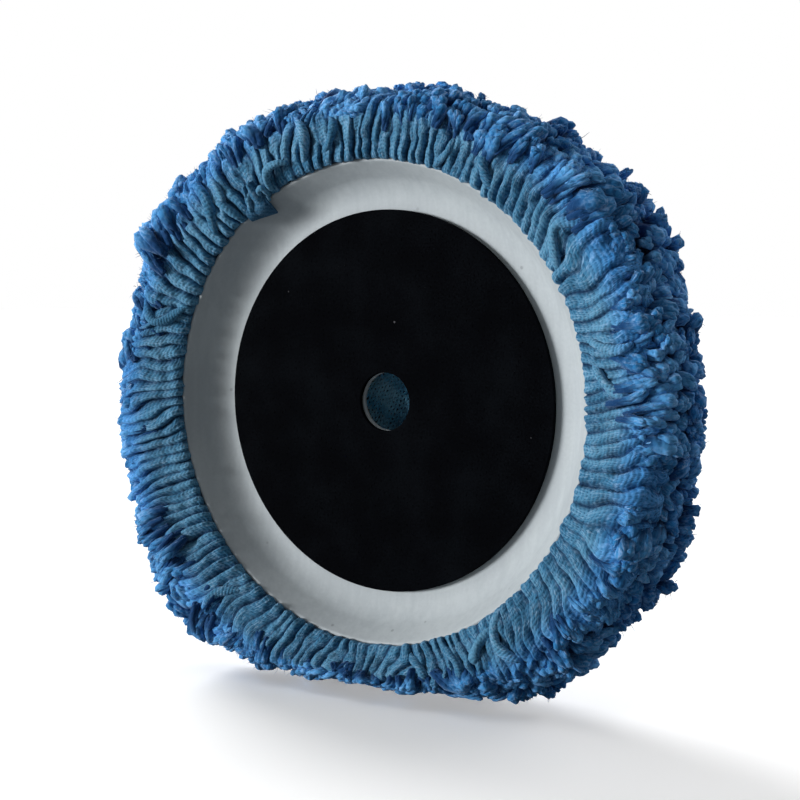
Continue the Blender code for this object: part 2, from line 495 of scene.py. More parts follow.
@dataclass(frozen=True)
class OpenFoamFinish:
    """White open-cell foam, its open cells darkened as painted shade."""

    name: str = "open_cell_foam"
    wall: Colour = (0.76, 0.75, 0.69)
    # cell: painted shade inside the open cells
    cell: Colour = (0.36, 0.35, 0.30)

    def material(self) -> bpy.types.Material:
        """Build the material from object coordinates.

        Returns:
            The material.
        """
        bench = Bench(self.name)
        place = bench.place()
        cells = bench.node(
            "ShaderNodeTexVoronoi", {"feature": "F1"}, {"Vector": place, "Scale": 850.0}
        )
        open_cells = bench.ease(cells, 0.45, 0.15)
        # Painted shade: the open cells are darkened to the cell colour, where their hollows lie.
        colour = bench.mix(open_cells, self.wall, self.cell)
        return bench.dress(
            Base_Color=colour, Roughness=0.9, Normal=bench.bump(1.0 - open_cells, 0.3 * MM)
        )


@dataclass(frozen=True)
class HotMeltFinish:
    """Amber hot-melt film, uneven where it was pressed."""

    name: str = "hot_melt_film"
    thin: Colour = (0.62, 0.55, 0.38)
    thick: Colour = (0.42, 0.33, 0.18)

    def material(self) -> bpy.types.Material:
        """Build the material from object coordinates.

        Returns:
            The material.
        """
        bench = Bench(self.name)
        flow = bench.noise(bench.place(), 140.0, 3.0)
        colour = bench.mix(bench.ease(flow, 0.35, 0.65), self.thick, self.thin)
        return bench.dress(
            Base_Color=colour, Roughness=0.30 + 0.25 * flow, Normal=bench.bump(flow, 0.3 * MM)
        )


# Each finish's first colour is its root colour: painted shade for the gaps between locks and the grooves of
# their fibres.
PILE_FINISH = WoolFinish(
    Wear.PILE, (0.001, 0.024, 0.120), (0.018, 0.210, 0.570), (0.095, 0.385, 0.830), (0.42, 0.64, 0.98),
    fibre_depth=0.55 * MM, fibre_scale=1.3, shade_from=0.42, ply_depth=0.25,
)
ROPE_FINISH = WoolFinish(
    Wear.ROPE, (0.001, 0.022, 0.070), (0.034, 0.170, 0.310), (0.090, 0.275, 0.440), (0.28, 0.44, 0.62),
    plies=0.0, ply_pitch=1.25, ply_depth=0.40, stitch=2.0, fibre_depth=0.28 * MM, rim=(0.80, 1.18, 1.65),
)
ROLL_FINISH = WoolFinish(
    Wear.ROLL, (0.002, 0.045, 0.150), (0.028, 0.220, 0.520), (0.100, 0.380, 0.760), (0.38, 0.58, 0.90),
    fibre_depth=0.50 * MM, fibre_scale=1.3, shade_from=0.30, ply_depth=0.25,
)
# The bed's dark blues are painted shade: it shows only in the gaps between the tufts.
BED_FINISH = WoolFinish(
    Wear.BED, (0.002, 0.014, 0.050), (0.010, 0.055, 0.160), (0.020, 0.090, 0.230), (0.05, 0.14, 0.30)
)
FUZZ_FINISH = WoolFinish(
    Wear.FUZZ, (0.020, 0.090, 0.240), (0.080, 0.240, 0.520), (0.180, 0.400, 0.740), (0.42, 0.60, 0.90)
)
YARN_FINISH = WoolFinish(
    Wear.YARN, (0.004, 0.080, 0.200), (0.120, 0.560, 0.880), (0.300, 0.700, 0.920), (0.60, 0.80, 0.95)
)


# ---------------------------------------------------------------- meshes


def polar(radius: np.ndarray, angle: np.ndarray, height: np.ndarray) -> np.ndarray:
    """Points from a radius, an angle round the Y axis and a height along it.

    Args:
        radius: Distances from the axis.
        angle: Angles from +X towards +Z.
        height: Y values.

    Returns:
        Points, with X, Y and Z last.
    """
    radius, angle, height = np.broadcast_arrays(radius, angle, height)
    return np.stack([radius * np.cos(angle), height, radius * np.sin(angle)], axis=-1)


def unit(vectors: np.ndarray) -> np.ndarray:
    """Vectors of length one, in the same directions."""
    return vectors / np.maximum(np.linalg.norm(vectors, axis=-1, keepdims=True), 1e-12)


def square_to(vectors: np.ndarray, axes: np.ndarray) -> np.ndarray:
    """The part of each vector that is at right angles to its own axis, a unit vector."""
    return vectors - (vectors * axes).sum(-1, keepdims=True) * axes


def round_turn(count: int) -> np.ndarray:
    """Angles at even steps round a full turn."""
    return np.arange(count) * (TURN / count)


def grid_quads(rows: int, columns: int, close_rows: bool, close_columns: bool) -> np.ndarray:
    """Corner numbers of a grid's quads.

    Args:
        rows: Points along the first parameter.
        columns: Points along the second.
        close_rows: Whether the last row joins the first.
        close_columns: Whether the last column joins the first.

    Returns:
        An array with four corners a quad.
    """
    row = np.arange(rows if close_rows else rows - 1)[:, None]
    column = np.arange(columns if close_columns else columns - 1)[None, :]
    next_row = (row + 1) % rows
    next_column = (column + 1) % columns
    corners = [
        row * columns + column,
        row * columns + next_column,
        next_row * columns + next_column,
        next_row * columns + column,
    ]
    return np.stack(np.broadcast_arrays(*corners), axis=-1).reshape(-1, 4)


@dataclass
class Surface:
    """Points and faces of one piece, with optional attributes for its finish."""

    points: np.ndarray
    quads: np.ndarray
    triangles: np.ndarray
    attributes: Optional[dict[str, np.ndarray]] = None

    def volume(self) -> float:
        """Signed volume: the sum of the tetrahedra from the origin to each face.

        Returns:
            The volume, above zero when the faces point out.
        """
        fans = [self.quads[:, [0, 1, 2]], self.quads[:, [0, 2, 3]], self.triangles]
        corners = self.points[np.concatenate(fans)]
        cross = np.cross(corners[:, 1], corners[:, 2])
        return float((corners[:, 0] * cross).sum() / 6.0)

    def outwards(self) -> "Surface":
        """The same closed surface with its faces pointing out."""
        if self.volume() < 0.0:
            self.quads = self.quads[:, ::-1]
            self.triangles = self.triangles[:, ::-1]
        return self

    def joined(self, other: "Surface") -> "Surface":
        """This surface and another as one.

        Args:
            other: The other surface; it has the same attributes.

        Returns:
            A surface that holds both.
        """
        shift = len(self.points)
        attributes = None
        if self.attributes and other.attributes:
            attributes = {
                name: np.concatenate([value, other.attributes[name]])
                for name, value in self.attributes.items()
            }
        return Surface(
            np.concatenate([self.points, other.points]),
            np.concatenate([self.quads, other.quads + shift]),
            np.concatenate([self.triangles, other.triangles + shift]),
            attributes,
        )

    def evened(self, rise: float) -> "Surface":
        """The same surface coloured from end to end as at one rise, so its painted root shade is even."""
        self.attributes["lock"][:, 0] = rise
        return self

    def slumped(self, slump: "Slump") -> "Surface":
        """The same surface with its points moved by the slump of the wool."""
        self.points = slump.moved(self.points)
        return self

    def piece(self, name: str, material: bpy.types.Material) -> bpy.types.Object:
        """Make the surface a smooth-shaded object at the origin.

        Args:
            name: The piece's name.
            material: Its material.

        Returns:
            The object.
        """
        mesh = bpy.data.meshes.new(name)
        mesh.vertices.add(len(self.points))
        mesh.vertices.foreach_set("co", self.points.astype(np.float32).ravel())
        corner_count = self.quads.size + self.triangles.size
        mesh.loops.add(corner_count)
        mesh.loops.foreach_set(
            "vertex_index", np.concatenate([self.quads.ravel(), self.triangles.ravel()]).astype(np.int32)
        )
        face_count = len(self.quads) + len(self.triangles)
        mesh.polygons.add(face_count)
        quad_starts = np.arange(len(self.quads)) * 4
        triangle_starts = self.quads.size + np.arange(len(self.triangles)) * 3
        starts = np.concatenate([quad_starts, triangle_starts]).astype(np.int32)
        mesh.polygons.foreach_set("loop_start", starts)
        mesh.update(calc_edges=True)
        for attribute, values in (self.attributes or {}).items():
            layer = mesh.attributes.new(attribute, "FLOAT_VECTOR", "POINT")
            layer.data.foreach_set("vector", values.astype(np.float32).ravel())
        mesh.shade_smooth()
        mesh.materials.append(material)
        obj = bpy.data.objects.new(name, mesh)
        bpy.context.scene.collection.objects.link(obj)
        return obj


NO_TRIANGLES = np.zeros((0, 3), dtype=int)


def turned(outline: np.ndarray, segments: int, lift: Optional[np.ndarray] = None) -> Surface:
    """Turn a closed outline round the Y axis: each point sweeps a full circle.

    Args:
        outline: Closed outline as (radius, height) points, none on the axis.
        segments: Points round the circle.
        lift: Changes of radius and height by outline point and segment, or nothing.

    Returns:
        The closed surface.
    """
    angle = round_turn(segments)
    section = np.repeat(outline[:, None, :], segments, axis=1)
    if lift is not None:
        section = section + lift
    points = polar(section[..., 0], angle[None, :], section[..., 1])
    quads = grid_quads(len(outline), segments, True, True)
    return Surface(points.reshape(-1, 3), quads, NO_TRIANGLES).outwards()


def arc(centre: tuple[float, float], radius: float, start: float, end: float, steps: int) -> np.ndarray:
    """Points on an arc in the (radius, height) plane, by cosine and sine.

    Args:
        centre: The arc's centre.
        radius: Its radius.
        start: First angle.
        end: Last angle.
        steps: Number of points.

    Returns:
        The points.
    """
    angle = np.linspace(start, end, steps)
    return np.stack([centre[0] + radius * np.cos(angle), centre[1] + radius * np.sin(angle)], axis=-1)


def evenly(outline: np.ndarray, spacing: float) -> np.ndarray:
    """Points at an even spacing along an open outline.

    Args:
        outline: The outline's own points.
        spacing: Distance between the new points.

    Returns:
        The new points, with both ends kept.
    """
    steps = np.linalg.norm(np.diff(outline, axis=0), axis=1)
    length = np.concatenate([[0.0], np.cumsum(steps)])
    places = np.linspace(0.0, length[-1], max(2, int(round(length[-1] / spacing)) + 1))
    return np.stack([np.interp(places, length, outline[:, k]) for k in range(2)], axis=-1)


class Ripple:
    """Smooth random relief: a sum of plane waves in random directions, with a spread of one."""

    def __init__(self, seed: int, wavelength: float, waves: int = 28) -> None:
        """Draw the waves.

        Args:
            seed: Seed of the draw.
            wavelength: Middle wavelength; each wave's own is 0.7 to 1.5 times as long.
            waves: Number of waves.
        """
        draw = np.random.default_rng(seed)
        directions = unit(draw.normal(size=(waves, 3)))
        lengths = wavelength * draw.uniform(0.7, 1.5, waves)
        self.waves = (directions * (TURN / lengths)[:, None]).T
        self.phase = draw.uniform(0.0, TURN, waves)

    def at(self, points: np.ndarray) -> np.ndarray:
        """The relief at some points."""
        total = np.sin(points @ self.waves + self.phase).sum(axis=-1)
        return total * math.sqrt(2.0 / len(self.phase))


@dataclass
class LockShape:
    """How a bundle of locks is made: rings along each lock and points round each ring."""

    rings: int
    sides: int
    twist: float
    lobes: float
    lump: float
    grain_round: float = 1.4
    grain_along: float = 1.0 / MM

    def surface(
        self, centres: np.ndarray, girth: np.ndarray, across: np.ndarray, tone: np.ndarray,
        draw: np.random.Generator,
    ) -> Surface:
        """Carry a lobed ring along each lock's centre line and close both ends.

        A ring's point is the centre plus the girth times (1 + lobes * cos(2 * (angle + twist)))
        times (1 + a random lump), in the plane across the centre line.

        Args:
            centres: Centre lines, by lock and ring.
            girth: Radius by lock and ring.
            across: One vector across each lock.
            tone: Tone of each lock, 0 to 1.
            draw: Random numbers.

        Returns:
            All locks as one surface with "lock" and "grain" attributes.
        """
        count = len(centres)
        tangent = unit(np.gradient(centres, axis=1))
        first = unit(square_to(across[:, None, :], tangent))
        second = np.cross(tangent, first)
        rise = np.linspace(0.0, 1.0, self.rings)
        start = draw.uniform(0.0, TURN, count)
        angle = round_turn(self.sides)
        wound = angle[None, None, :] + self.twist * rise[None, :, None] + start[:, None, None]
        lump = 1.0 + self.lump * draw.uniform(-1.0, 1.0, (count, self.rings, self.sides))
        reach = girth[..., None] * (1.0 + self.lobes * np.cos(2.0 * wound)) * lump
        turn = angle[None, None, :, None]
        spoke = np.cos(turn) * first[:, :, None, :] + np.sin(turn) * second[:, :, None, :]
        rings = centres[:, :, None, :] + reach[..., None] * spoke
        tail = centres[:, :1] - 0.6 * girth[:, :1, None] * tangent[:, :1]
        head = centres[:, -1:] + 0.6 * girth[:, -1:, None] * tangent[:, -1:]
        points = np.concatenate([rings.reshape(count, -1, 3), tail, head], axis=1)
        return Surface(
            points.reshape(-1, 3), *self._faces(count), self._attributes(centres, wound, tone, draw)
        ).outwards()

    def _faces(self, count: int) -> tuple[np.ndarray, np.ndarray]:
        """Faces of all locks.

        Args:
            count: Number of locks.

        Returns:
            Quads and triangles.
        """
        body = self.rings * self.sides
        size = body + 2
        quads = grid_quads(self.rings, self.sides, False, True)
        side = np.arange(self.sides)
        after = (side + 1) % self.sides
        last = (self.rings - 1) * self.sides
        tail = np.stack([after, side, np.full(self.sides, body)], axis=-1)
        head = np.stack([last + side, last + after, np.full(self.sides, body + 1)], axis=-1)
        caps = np.concatenate([tail, head])
        shift = (np.arange(count) * size)[:, None, None]
        return (quads[None] + shift).reshape(-1, 4), (caps[None] + shift).reshape(-1, 3)

    def _attributes(
        self, centres: np.ndarray, wound: np.ndarray, tone: np.ndarray, draw: np.random.Generator
    ) -> dict[str, np.ndarray]:
        """The finish's attributes.

        "lock" holds the rise from root to tip, the lock's tone and how dry it is; "grain" holds a
        place on a twisted cylinder, as long as the lock, that fibres are drawn on.

        Args:
            centres: Centre lines, by lock and ring.
            wound: Wound angles, by lock, ring and side.
            tone: Tone of each lock.
            draw: Random numbers.

        Returns:
            The two attributes, a row for each point.
        """
        count = len(centres)
        steps = np.linalg.norm(np.diff(centres, axis=1), axis=-1)
        length = np.concatenate([np.zeros((count, 1)), np.cumsum(steps, axis=1)], axis=1)
        rise = length / length[:, -1:]
        shift = draw.uniform(0.0, 400.0, count)
        dry = draw.uniform(0.0, 1.0, count) ** 2
        lengthwise = length * self.grain_along + shift[:, None]
        grain = np.stack([
            self.grain_round * np.cos(wound),
            self.grain_round * np.sin(wound),
            np.repeat(lengthwise[:, :, None], self.sides, axis=2),
        ], axis=-1).reshape(count, -1, 3)
        ends = np.stack([
            np.stack([np.zeros(count), np.zeros(count), lengthwise[:, 0]], axis=-1),
            np.stack([np.zeros(count), np.zeros(count), lengthwise[:, -1]], axis=-1),
        ], axis=1)
        facts = np.stack([
            np.repeat(rise, self.sides, axis=1),
            np.repeat(tone[:, None], self.rings * self.sides, axis=1),
            np.repeat(dry[:, None], self.rings * self.sides, axis=1),
        ], axis=-1)
        end_facts = np.stack([
            np.stack([np.zeros(count), tone, dry], axis=-1),
            np.stack([np.ones(count), tone, dry], axis=-1),
        ], axis=1)
        return {
            "lock": np.concatenate([facts, end_facts], axis=1).reshape(-1, 3),
            "grain": np.concatenate([grain, ends], axis=1).reshape(-1, 3),
        }


def fibres(
    start: np.ndarray, reach: np.ndarray, curl: np.ndarray, radius: np.ndarray, across: np.ndarray,
    tone: np.ndarray, draw: np.random.Generator,
) -> Surface:
    """Loose fibres: each leaves its start straight, and bends with the square of the way.

    Args:
        start: Where each fibre starts.
        reach: From its start to its end, if it were straight.
        curl: How far the end is bent aside.
        radius: Its radius at the start, as a column.
        across: One vector across each fibre.
        tone: Tone of each fibre, 0 to 1.
        draw: Random numbers.

    Returns:
        All fibres as one surface.
    """
    taper = np.array([1.0, 0.9, 0.45])
    way = np.linspace(0.0, 1.0, len(taper))[None, :, None]
    centres = start[:, None] + reach[:, None] * way + curl[:, None] * way**2
    shape = LockShape(rings=len(taper), sides=3, twist=0.0, lobes=0.0, lump=0.0)
    return shape.surface(centres, radius * taper, across, tone, draw)


# ---------------------------------------------------------------- wool


@dataclass(frozen=True)
class Bulge:
    """A place round the edge where the soft wool stands out, or is pressed in."""

    angle: float
    width: float
    height: float


@dataclass
class Slump:
    """How the pad's soft edge departs from round: the sum of its bulges, as bell curves."""

    inner_radius: float = 87.0 * MM
    outer_radius: float = 112.0 * MM
    bulges: tuple[Bulge, ...] = (
        Bulge(math.radians(-38.0), math.radians(30.0), 5.5 * MM),
        Bulge(math.radians(2.0), math.radians(20.0), 4.5 * MM),
        Bulge(math.radians(15.0), math.radians(9.0), -8.0 * MM),
        Bulge(math.radians(38.0), math.radians(20.0), 5.0 * MM),
        Bulge(math.radians(80.0), math.radians(24.0), -5.5 * MM),
        Bulge(math.radians(116.0), math.radians(14.0), -4.5 * MM),
        Bulge(math.radians(142.0), math.radians(16.0), 3.0 * MM),
        Bulge(math.radians(205.0), math.radians(26.0), 2.5 * MM),
        Bulge(math.radians(-90.0), math.radians(25.0), -14.5 * MM),
    )

    def moved(self, points: np.ndarray) -> np.ndarray:
        """Move points in or out from the axis, more towards the edge.

        Args:
            points: Points of the wool.

        Returns:
            The moved points.
        """
        radius = np.hypot(points[..., 0], points[..., 2])
        angle = np.arctan2(points[..., 2], points[..., 0])
        share = (radius - self.inner_radius) / (self.outer_radius - self.inner_radius)
        share = np.clip(share, 0.0, 1.2) ** 1.2
        push = np.zeros_like(radius)
        for bulge in self.bulges:
            away = np.angle(np.exp(1j * (angle - bulge.angle)))
            push = push + bulge.height * np.exp(-((away / bulge.width) ** 2))
        factor = 1.0 + push * share / np.maximum(radius, 1.0 * MM)
        return points * np.stack([factor, np.ones_like(factor), factor], axis=-1)


SLUMP = Slump()


@dataclass
class WoolOutline:
    """The tips of the pile in the (radius, height) plane, from the face's centre to the lip.

    The face is flat, then an oval arc runs to the widest radius, a second one over the back's
    roll to its crest, and a third one down towards the lip.
    """

    widest: float
    face_y: float
    crest_y: float
    widest_y: float = -3.0 * MM
    flat_radius: float = 42.0 * MM
    crest_radius: float = 103.0 * MM
    crest_rise: float = 2.4 * MM
    inner_radius: float = 89.5 * MM
    inner_y: float = 9.5 * MM
    steps: int = 60

    def points(self) -> np.ndarray:
        """The outline's points, close together.

        Returns:
            (radius, height) points.
        """
        quarter = np.linspace(0.0, math.pi / 2, self.steps)
        flat_way = np.linspace(0.0, self.flat_radius, self.steps)
        flat = np.stack([flat_way, np.full(self.steps, self.face_y)], axis=-1)
        face = np.stack([
            self.flat_radius + (self.widest - self.flat_radius) * np.sin(quarter),
            self.widest_y - (self.widest_y - self.face_y) * np.cos(quarter),
        ], axis=-1)
        roll = np.stack([
            self.crest_radius + (self.widest - self.crest_radius) * np.cos(quarter),
            self.widest_y + (self.crest_y + self.crest_rise - self.widest_y) * np.sin(quarter),
        ], axis=-1)
        inside = np.stack([
            self.crest_radius - (self.crest_radius - self.inner_radius) * np.sin(quarter),
            self.inner_y + (self.crest_y + self.crest_rise - self.inner_y) * np.cos(quarter),
        ], axis=-1)
        return evenly(np.concatenate([flat, face[1:], roll[1:], inside[1:]]), 0.4 * MM)

    def swept(self) -> tuple[np.ndarray, np.ndarray]:
        """The outline, and the area that it sweeps up to each point, by Pappus's rule.

        Returns:
            (radius, height) points, and the areas for a turn of one radian.
        """
        line = self.points()
        step = np.linalg.norm(np.diff(line, axis=0), axis=1)
        middle = (line[1:, 0] + line[:-1, 0]) / 2
        return line, np.concatenate([[0.0], np.cumsum(step * middle)])

    def place(self, share: np.ndarray) -> tuple[np.ndarray, np.ndarray]:
        """Points on the outline, by the share of the turned area that lies inside them.

        Args:
            share: Shares from 0 at the face's centre to 1 at the lip.

        Returns:
            (radius, height) points, and the outline's outward normals there.
        """
        line, area = self.swept()
        area = area / area[-1]
        tangent = unit(np.gradient(line, axis=0))
        normal = np.stack([tangent[:, 1], -tangent[:, 0]], axis=-1)
        found = [np.interp(share, area, line[:, k]) for k in range(2)]
        facing = [np.interp(share, area, normal[:, k]) for k in range(2)]
        return np.stack(found, axis=-1), unit(np.stack(facing, axis=-1))

    def area(self) -> float:
        """Area of the whole turned outline."""
        return float(TURN * self.swept()[1][-1])

    def share_at(self, radius: float, beyond_crest: bool) -> float:
        """The area's share at a radius, on the face's side or past the widest point.

        Args:
            radius: The radius to look for.
            beyond_crest: Whether the place is on the back.

        Returns:
            The share.
        """
        line, area = self.swept()
        widest = int(np.argmax(line[:, 0]))
        part = slice(widest, None) if beyond_crest else slice(0, widest + 1)
        nearest = int(np.argmin(np.abs(line[part, 0] - radius)))
        return float((area / area[-1])[part][nearest])


@dataclass(frozen=True)
class Parting:
    """A place on the face where the pile parts and shows a dark gap."""

    x: float
    z: float
    radius: float


@dataclass
class TuftLayout:
    """A group of tufts: where they end, how they grow and curl, and their radii and tones."""

    top: np.ndarray
    direction: np.ndarray
    curl: np.ndarray
    length: np.ndarray
    size: np.ndarray
    tone: np.ndarray

    def line(self, pick: np.ndarray, rise: np.ndarray) -> np.ndarray:
        """Points on the tufts' centre lines.

        A line climbs along the tuft's direction, a little less with the fourth power of the
        rise, and curls aside with the cube of the rise.

        Args:
            pick: Numbers of the tufts.
            rise: Shares of the way from root to tip, a row for each picked tuft.

        Returns:
            Points, by picked tuft and rise.
        """
        droop = 0.16
        climb = rise - droop * rise**4 - (1.0 - droop)
        up = self.direction[pick][:, None] * (self.length[pick][:, None] * climb)[..., None]
        aside = self.curl[pick][:, None] * (rise**3 - 0.4)[..., None]
        return self.top[pick][:, None] + up + aside


@dataclass
class WoolPile:
    """The tufts of the working face and of the roll round its edge, and the bed under them."""

    outline: WoolOutline
    spacing: float = 3.76 * MM
    packing: float = 0.866
    jitter: float = 0.30
    tuft_length: float = 11.0 * MM
    tuft_radius: float = 1.75 * MM
    curl: float = 1.5 * MM
    strands: int = 3
    hairs: int = 5
    swell: float = 2.2 * MM
    clump: float = 1.1 * MM
    highest: float = 4.5 * MM
    unevenness: float = 1.15 * MM
    fringe: Bulge = Bulge(math.radians(-46.0), math.radians(30.0), 6.0 * MM)
    fringe_rise: float = 2.5 * MM
    bed_depth: float = 5.5 * MM
    bed_wall: float = 3.0 * MM
    bed_segments: int = 200
    lean: float = 0.26
    stray_lean: float = 0.24
    comb_lean: float = 1.5
    splay_lean: float = 0.5
    sway_curl: float = 1.3
    stray_curl: float = 0.6
    comb_curl: float = 1.4
    winding: float = 1.8
    lock_girth: float = 0.78
    bald: float = 0.62
    splay_reach: float = 1.5
    inner_radius: float = 102.5 * MM
    border_gap: float = 2.0 * MM
    border_wave: float = 2.6 * MM
    partings: tuple[Parting, ...] = (
        Parting(-22.0 * MM, 70.0 * MM, 5.5 * MM),
        Parting(-44.0 * MM, 74.0 * MM, 4.5 * MM),
        Parting(-46.0 * MM, 54.0 * MM, 5.0 * MM),
        Parting(-60.0 * MM, 32.0 * MM, 4.5 * MM),
        Parting(-3.0 * MM, 50.0 * MM, 4.0 * MM),
        Parting(-27.0 * MM, -3.0 * MM, 6.5 * MM),
        Parting(-56.0 * MM, -26.0 * MM, 4.0 * MM),
        Parting(-6.0 * MM, -70.0 * MM, 5.0 * MM),
        Parting(40.0 * MM, 22.0 * MM, 3.5 * MM),
        Parting(62.0 * MM, -38.0 * MM, 4.0 * MM),
    )
    zones: tuple[str, ...] = ("centre", "middle", "shoulder", "edge", "roll")

    def __post_init__(self) -> None:
        """Draw the pile's reliefs."""
        self.swells = Ripple(11, 34.0 * MM)
        self.clumps = Ripple(12, 12.0 * MM)
        self.leans = [Ripple(seed, 19.0 * MM) for seed in (13, 14, 15)]
        self.tones = Ripple(16, 22.0 * MM)
        self.border = Ripple(18, 26.0 * MM)
        self.lies = Ripple(19, 28.0 * MM)

    def nearness(self, points: np.ndarray, parting: Parting) -> np.ndarray:
        """How close points of the face are to a parting: 1 at its middle, a bell curve."""
        away = np.hypot(points[..., 0] - parting.x, points[..., 2] - parting.z)
        return np.where(points[..., 1] < 0.0, np.exp(-((away / parting.radius) ** 2)), 0.0)

    def height(self, points: np.ndarray) -> np.ndarray:
        """How far the tips stand over the outline: swells plus clumps, softly limited.

        Args:
            points: Points on the outline's surface.

        Returns:
            A height for each.
        """
        rise = self.swell * self.swells.at(points) + self.clump * self.clumps.at(points)
        return self.highest * np.tanh(rise / self.highest)

    def _stands(self, zone: int, draw: np.random.Generator) -> tuple[np.ndarray, np.ndarray]:
        """Where the tufts of one zone stand: on a sunflower spiral, a little shaken.

        Args:
            zone: Number of the zone.
            draw: Random numbers.

        Returns:
            Points on the outline's surface, and its outward normals there.
        """
        outline = self.outline
        last = outline.share_at(self.inner_radius, True)
        total = int(outline.area() * last / (self.packing * self.spacing**2))
        bounds = np.linspace(0, total, len(self.zones) + 1).astype(int)
        number = np.arange(bounds[zone], bounds[zone + 1])
        section, normal = outline.place(last * (number + 0.5) / total)
        angle = number * GOLDEN_ANGLE
        shake = draw.normal(0.0, self.jitter * self.spacing, (len(number), 3))
        facing = unit(polar(normal[:, 0], angle, normal[:, 1]))
        base = polar(section[:, 0], angle, section[:, 1]) + square_to(shake, facing)
        keep = self._grows(base)
        return base[keep], facing[keep]

    def _splay(self, base: np.ndarray) -> np.ndarray:
        """How tufts turn away from the middles of the partings, also a little past their edges.

        Args:
            base: Where the tufts stand.

        Returns:
            Vectors, longest beside a parting.
        """
        reach = self.splay_reach
        splay = np.zeros_like(base)
        for parting in self.partings:
            middle = np.array([parting.x, 0.0, parting.z])
            wider = Parting(parting.x / reach, parting.z / reach, parting.radius)
            outward = unit((base - middle) * OFF_AXIS)
            splay = splay + outward * self.nearness(base / reach, wider)[:, None]
        return splay

    def layout(self, zone: int) -> TuftLayout:
        """How the tufts of one zone stand, lean, curl and differ.

        A tuft points along the outline's normal plus a smooth sway, so that neighbours lean
        together, and a stray part of its own. On the back's roll the tufts are combed away from
        the axis, and round a parting they lean away from its middle, where none grow.

        Args:
            zone: Number of the zone, from the face's centre outwards.

        Returns:
            The zone's tufts.
        """
        draw = np.random.default_rng(100 + zone)
        base, facing = self._stands(zone, draw)
        count = len(base)
        sway = np.stack([ripple.at(base) for ripple in self.leans], axis=-1)
        back = np.clip((base[:, 1:2] + 4.0 * MM) / (12.0 * MM), 0.0, 1.0)
        comb = back * unit(base * OFF_AXIS)
        aside = self.lean * sway + draw.normal(0.0, self.stray_lean, (count, 3))
        aside = aside + self.comb_lean * comb + self.splay_lean * self._splay(base)
        direction = unit(facing + square_to(aside, facing))
        lie = np.clip(0.8 + 0.6 * self.lies.at(base), 0.1, 2.0)[:, None]
        bend = self.sway_curl * lie * sway + draw.normal(0.0, self.stray_curl, (count, 3))
        curl = square_to(self.curl * (bend + self.comb_curl * comb), facing)
        rise = self.height(base) + draw.normal(0.0, self.unevenness, count) * (1.0 - 0.5 * back[:, 0])
        on_back = np.clip(base[:, 1] / (8.0 * MM), 0.0, 1.0)
        rise = rise + self.fringe_rise * self.fringed(base) * on_back
        size = self.tuft_radius * np.clip(draw.lognormal(0.0, 0.24, count), 0.6, 1.6)
        size = size * (1.0 + 0.10 * np.clip(self.lies.at(base), -1.5, 1.5))
        tone = np.clip(0.5 + 0.36 * self.tones.at(base) + draw.normal(0.0, 0.20, count), 0.0, 1.0)
        length = self.tuft_length * draw.uniform(0.85, 1.15, count)
        return TuftLayout(base + facing * rise[:, None], direction, curl, length, size, tone)

    def fringed(self, base: np.ndarray) -> np.ndarray:
        """How far places are in the fringe, where the pile reaches in over the skirt's folds.

        Args:
            base: Places on the outline's surface.

        Returns:
            A share for each, 1 in the fringe's middle.
        """
        angle = np.arctan2(base[:, 2], base[:, 0])
        away = np.angle(np.exp(1j * (angle - self.fringe.angle)))
        return np.exp(-((away / self.fringe.width) ** 2))

    def _grows(self, base: np.ndarray) -> np.ndarray:
        """Whether a tuft grows at a place: not in a parting, nor inside the wavy inner border.

        Args:
            base: Places on the outline's surface.

        Returns:
            True or false for each.
        """
        grows = np.ones(len(base), dtype=bool)
        for parting in self.partings:
            grows &= self.nearness(base, parting) < self.bald
        wavy = self.inner_radius + self.border_gap + self.border_wave * self.border.at(base * OFF_AXIS)
        wavy = wavy - self.fringe.height * self.fringed(base)
        inside = (base[:, 1] > 5.0 * MM) & (np.hypot(base[:, 0], base[:, 2]) < wavy)
        return grows & ~inside

    def tufts(self, zone: int) -> Surface:
        """The tufts of one zone: each is a few lumpy locks wound round its centre line.

        A lock's distance from the centre line grows with the square of the rise, so that the
        tuft opens at its end, and the locks end at different heights.

        Args:
            zone: Number of the zone.

        Returns:
            The zone's tufts.
        """
        draw = np.random.default_rng(200 + zone)
        layout = self.layout(zone)
        count = len(layout.top)
        pick = np.repeat(np.arange(count), self.strands)
        swelling = np.array([0.60, 0.86, 1.00, 1.08, 0.92, 0.50])
        share = np.array([0.0, 0.40, 0.65, 0.82, 0.94, 1.0])
        rise = np.tile(share, (len(pick), 1))
        direction = layout.direction[pick]
        side = unit(square_to(draw.normal(0.0, 1.0, (count, 3))[pick], direction))
        other = np.cross(direction, side)
        turn = np.tile(round_turn(self.strands), count)[:, None] + self.winding * rise
        size = layout.size[pick][:, None]
        spread = size * (0.36 + 0.18 * rise**2) * draw.uniform(0.75, 1.2, (len(pick), 1))
        centres = layout.line(pick, rise)
        centres = centres + (spread * np.cos(turn))[..., None] * side[:, None]
        centres = centres + (spread * np.sin(turn))[..., None] * other[:, None]
        ahead = draw.normal(0.0, 0.40 * MM, (len(pick), 1)) * rise**2
        centres = centres + ahead[..., None] * direction[:, None]
        girth = self.lock_girth * size * swelling * draw.uniform(0.84, 1.16, rise.shape)
        shape = LockShape(rings=len(share), sides=5, twist=1.2, lobes=0.14, lump=0.14)
        tone = np.clip(layout.tone[pick] + draw.normal(0.0, 0.08, len(pick)), 0.0, 1.0)
        return shape.surface(centres, girth, side, tone, draw)

